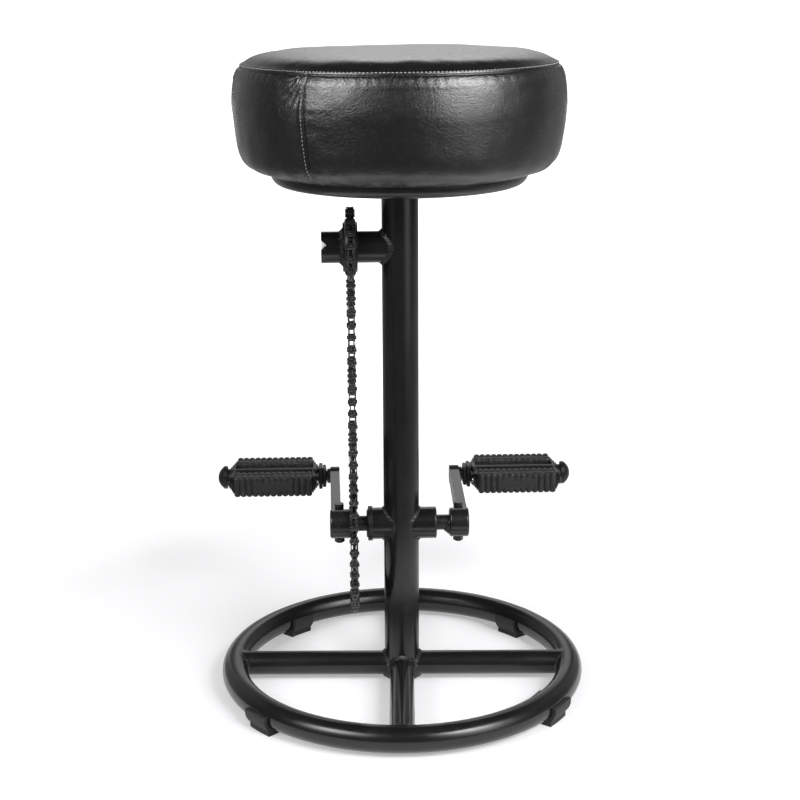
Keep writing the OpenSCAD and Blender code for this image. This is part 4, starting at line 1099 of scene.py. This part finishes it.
def make_pedal_ends():
    """The end castings of both pedals, and the rod heads on them."""
    for side, out in (("left", -1), ("right", 1)):
        lo, hi = span("pedal_blocks_" + side)
        centre = (lo + hi) / 2
        inner, outer = (hi[0], lo[0]) if out < 0 else (lo[0], hi[0])
        for name, end, way, collars in (("inner", inner, -out, COLLARS), ("outer", outer, out, [])):
            parts, heads = Parts(), Parts()
            end_casting(parts, end, way, centre, collars)
            for row in (-1, 1):
                rod_head(heads, end + way * HEAD_AT, way, centre + Vector((0, row * HEAD_ROW, 0)))
            for label, made, material in (("casting", parts, MATERIALS["pedal_plastic"]),
                                          ("rod_heads", heads, HEAD_STEEL)):
                obj = made.build("end_" + label + "_" + name + "_" + side, material, sharp_deg=40)
                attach(obj, "pedal_" + side)
                if made is parts:
                    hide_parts("pedal_" + name + "_plate_" + side)


# Stub and freewheel

# The stub's wall, and its lining's thickness, clearance and distance from the tube's two ends
STUB_WALL, LINING, LINING_GAP, LINING_INSET, LINING_STOP = 2.0, 0.12, 0.02, 0.4, 20


def make_stub_lining():
    """A light grey lining inside the open stub tube, seen through its notch."""
    lo, hi = span("stub_tube")
    middle = (lo + hi) / 2
    r = (hi[2] - lo[2]) / 2 - STUB_WALL
    x_from, x_to = lo[0] + LINING_INSET, hi[0] - LINING_STOP
    section = [(x_from, r - LINING_GAP), (x_to, r - LINING_GAP), (x_to, r - LINING), (x_from, r - LINING)]
    parts = Parts()
    parts.tube([circle_x(x, ring_r, middle, full_turn(72)) for x, ring_r in section], closed=True)
    obj = parts.build("stub_lining", LINING_LIGHT_GREY, sharp_deg=40)
    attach(obj, "stand")


# Section of the freewheel's rim: distance from its middle plane, radius
WHEEL_RIM = [(-7.2, 17.6), (-6.9, 20), (-6.3, 23.5), (-5.6, 26.6), (-4.8, 28.2), (-3.6, 28.9)]
# Outline of half a tooth: angle from its middle in degrees, distance out from the pitch circle
TOOTH = [(0, 3.0), (1.6, 3.0), (2.1, 2.5), (3.65, 0), (4.4, -1.5), (5.4, -2.9), (7.4, -3.85), (10, -4.05)]
# The teeth: their number, the radius that they start from, and the width and depth of their chamfers
TEETH, TOOTH_ROOT, CHAMFER_WIDTH, CHAMFER_DEPTH = 18, 25, 0.7, 1.2


def make_freewheel():
    """The freewheel's ring with rounded rims, and its teeth on the places of those in the solid."""
    node = frame["nodes"]["freewheel_ring"]
    lo, hi = span("freewheel_ring")
    middle = (lo + hi) / 2
    points = np.array([v.co for v in node.data.vertices]) / MM
    across = points[:, 1:] - middle[1:]
    radius = np.hypot(across[:, 0], across[:, 1])
    bore, tip = radius.min(), radius.max()
    at_tip = radius > tip - 0.1
    tips = np.arctan2(across[at_tip, 1], across[at_tip, 0])
    phase = math.atan2(np.sin(tips * TEETH).mean(), np.cos(tips * TEETH).mean()) / TEETH
    rim = WHEEL_RIM + [(-x, r) for x, r in WHEEL_RIM[::-1]]
    section = [(rim[0][0], bore + 0.05)] + rim + [(rim[-1][0], bore + 0.05)]
    parts = Parts()
    parts.tube([circle_x(middle[0] + x, r, middle, full_turn(96)) for x, r in section], closed=True)
    pitch_r = tip - TOOTH[0][1]
    half = [(math.radians(a), pitch_r + out) for a, out in TOOTH]
    tooth = [(-a, r) for a, r in half[:0:-1]] + half[:-1]
    outline = [(r, phase + k * 2 * math.pi / TEETH + a) for k in range(TEETH) for a, r in tooth]
    near, far = points[at_tip, 0].min(), points[at_tip, 0].max()
    rings = []
    for x, inset in ((near, CHAMFER_DEPTH), (near + CHAMFER_WIDTH, 0), (far - CHAMFER_WIDTH, 0),
                     (far, CHAMFER_DEPTH)):
        rings.append([(x, middle[1] + (r - inset) * math.cos(a), middle[2] + (r - inset) * math.sin(a))
                      for r, a in outline])
    for x in (far, near):
        rings.append(circle_x(x, TOOTH_ROOT, middle, [a for _, a in outline]))
    parts.tube(rings, closed=True)
    obj = parts.build("freewheel_rim", MATERIALS["dark_hardware"], sharp_deg=35)
    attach(obj, "freewheel")
    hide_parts("freewheel_ring")


# Edges

# Width of the rounding on the edges of forged and cut pieces, in millimetres
ROUNDED = {"crank_left": 1.5, "crank_right": 1.5, "stub_tube": 0.6,
           "cotter_pin_left": 0.6, "cotter_pin_right": 0.6, "cotter_nuts": 0.4, "cup_lockring": 0.4,
           "chain_outer_links": 0.22, "chain_inner_links": 0.22}


def round_edges():
    """Rounds the edges of these nodes. Only the thin chain plates clamp it where edges meet."""
    for node, width in ROUNDED.items():
        bevel = frame["nodes"][node].modifiers.new("rounded", "BEVEL")
        bevel.width = width * MM
        bevel.segments = 2
        bevel.limit_method = "ANGLE"
        bevel.use_clamp_overlap = node.startswith("chain")
        bevel.angle_limit = math.radians(40)
        bevel.harden_normals = True


bpy.context.scene.view_settings.view_transform = "Standard"
make_camera()
make_studio()
dress_cad_nodes()
make_cushion()
make_welds()
make_pedal_blocks()
make_pedal_ends()
make_stub_lining()
make_freewheel()
round_edges()
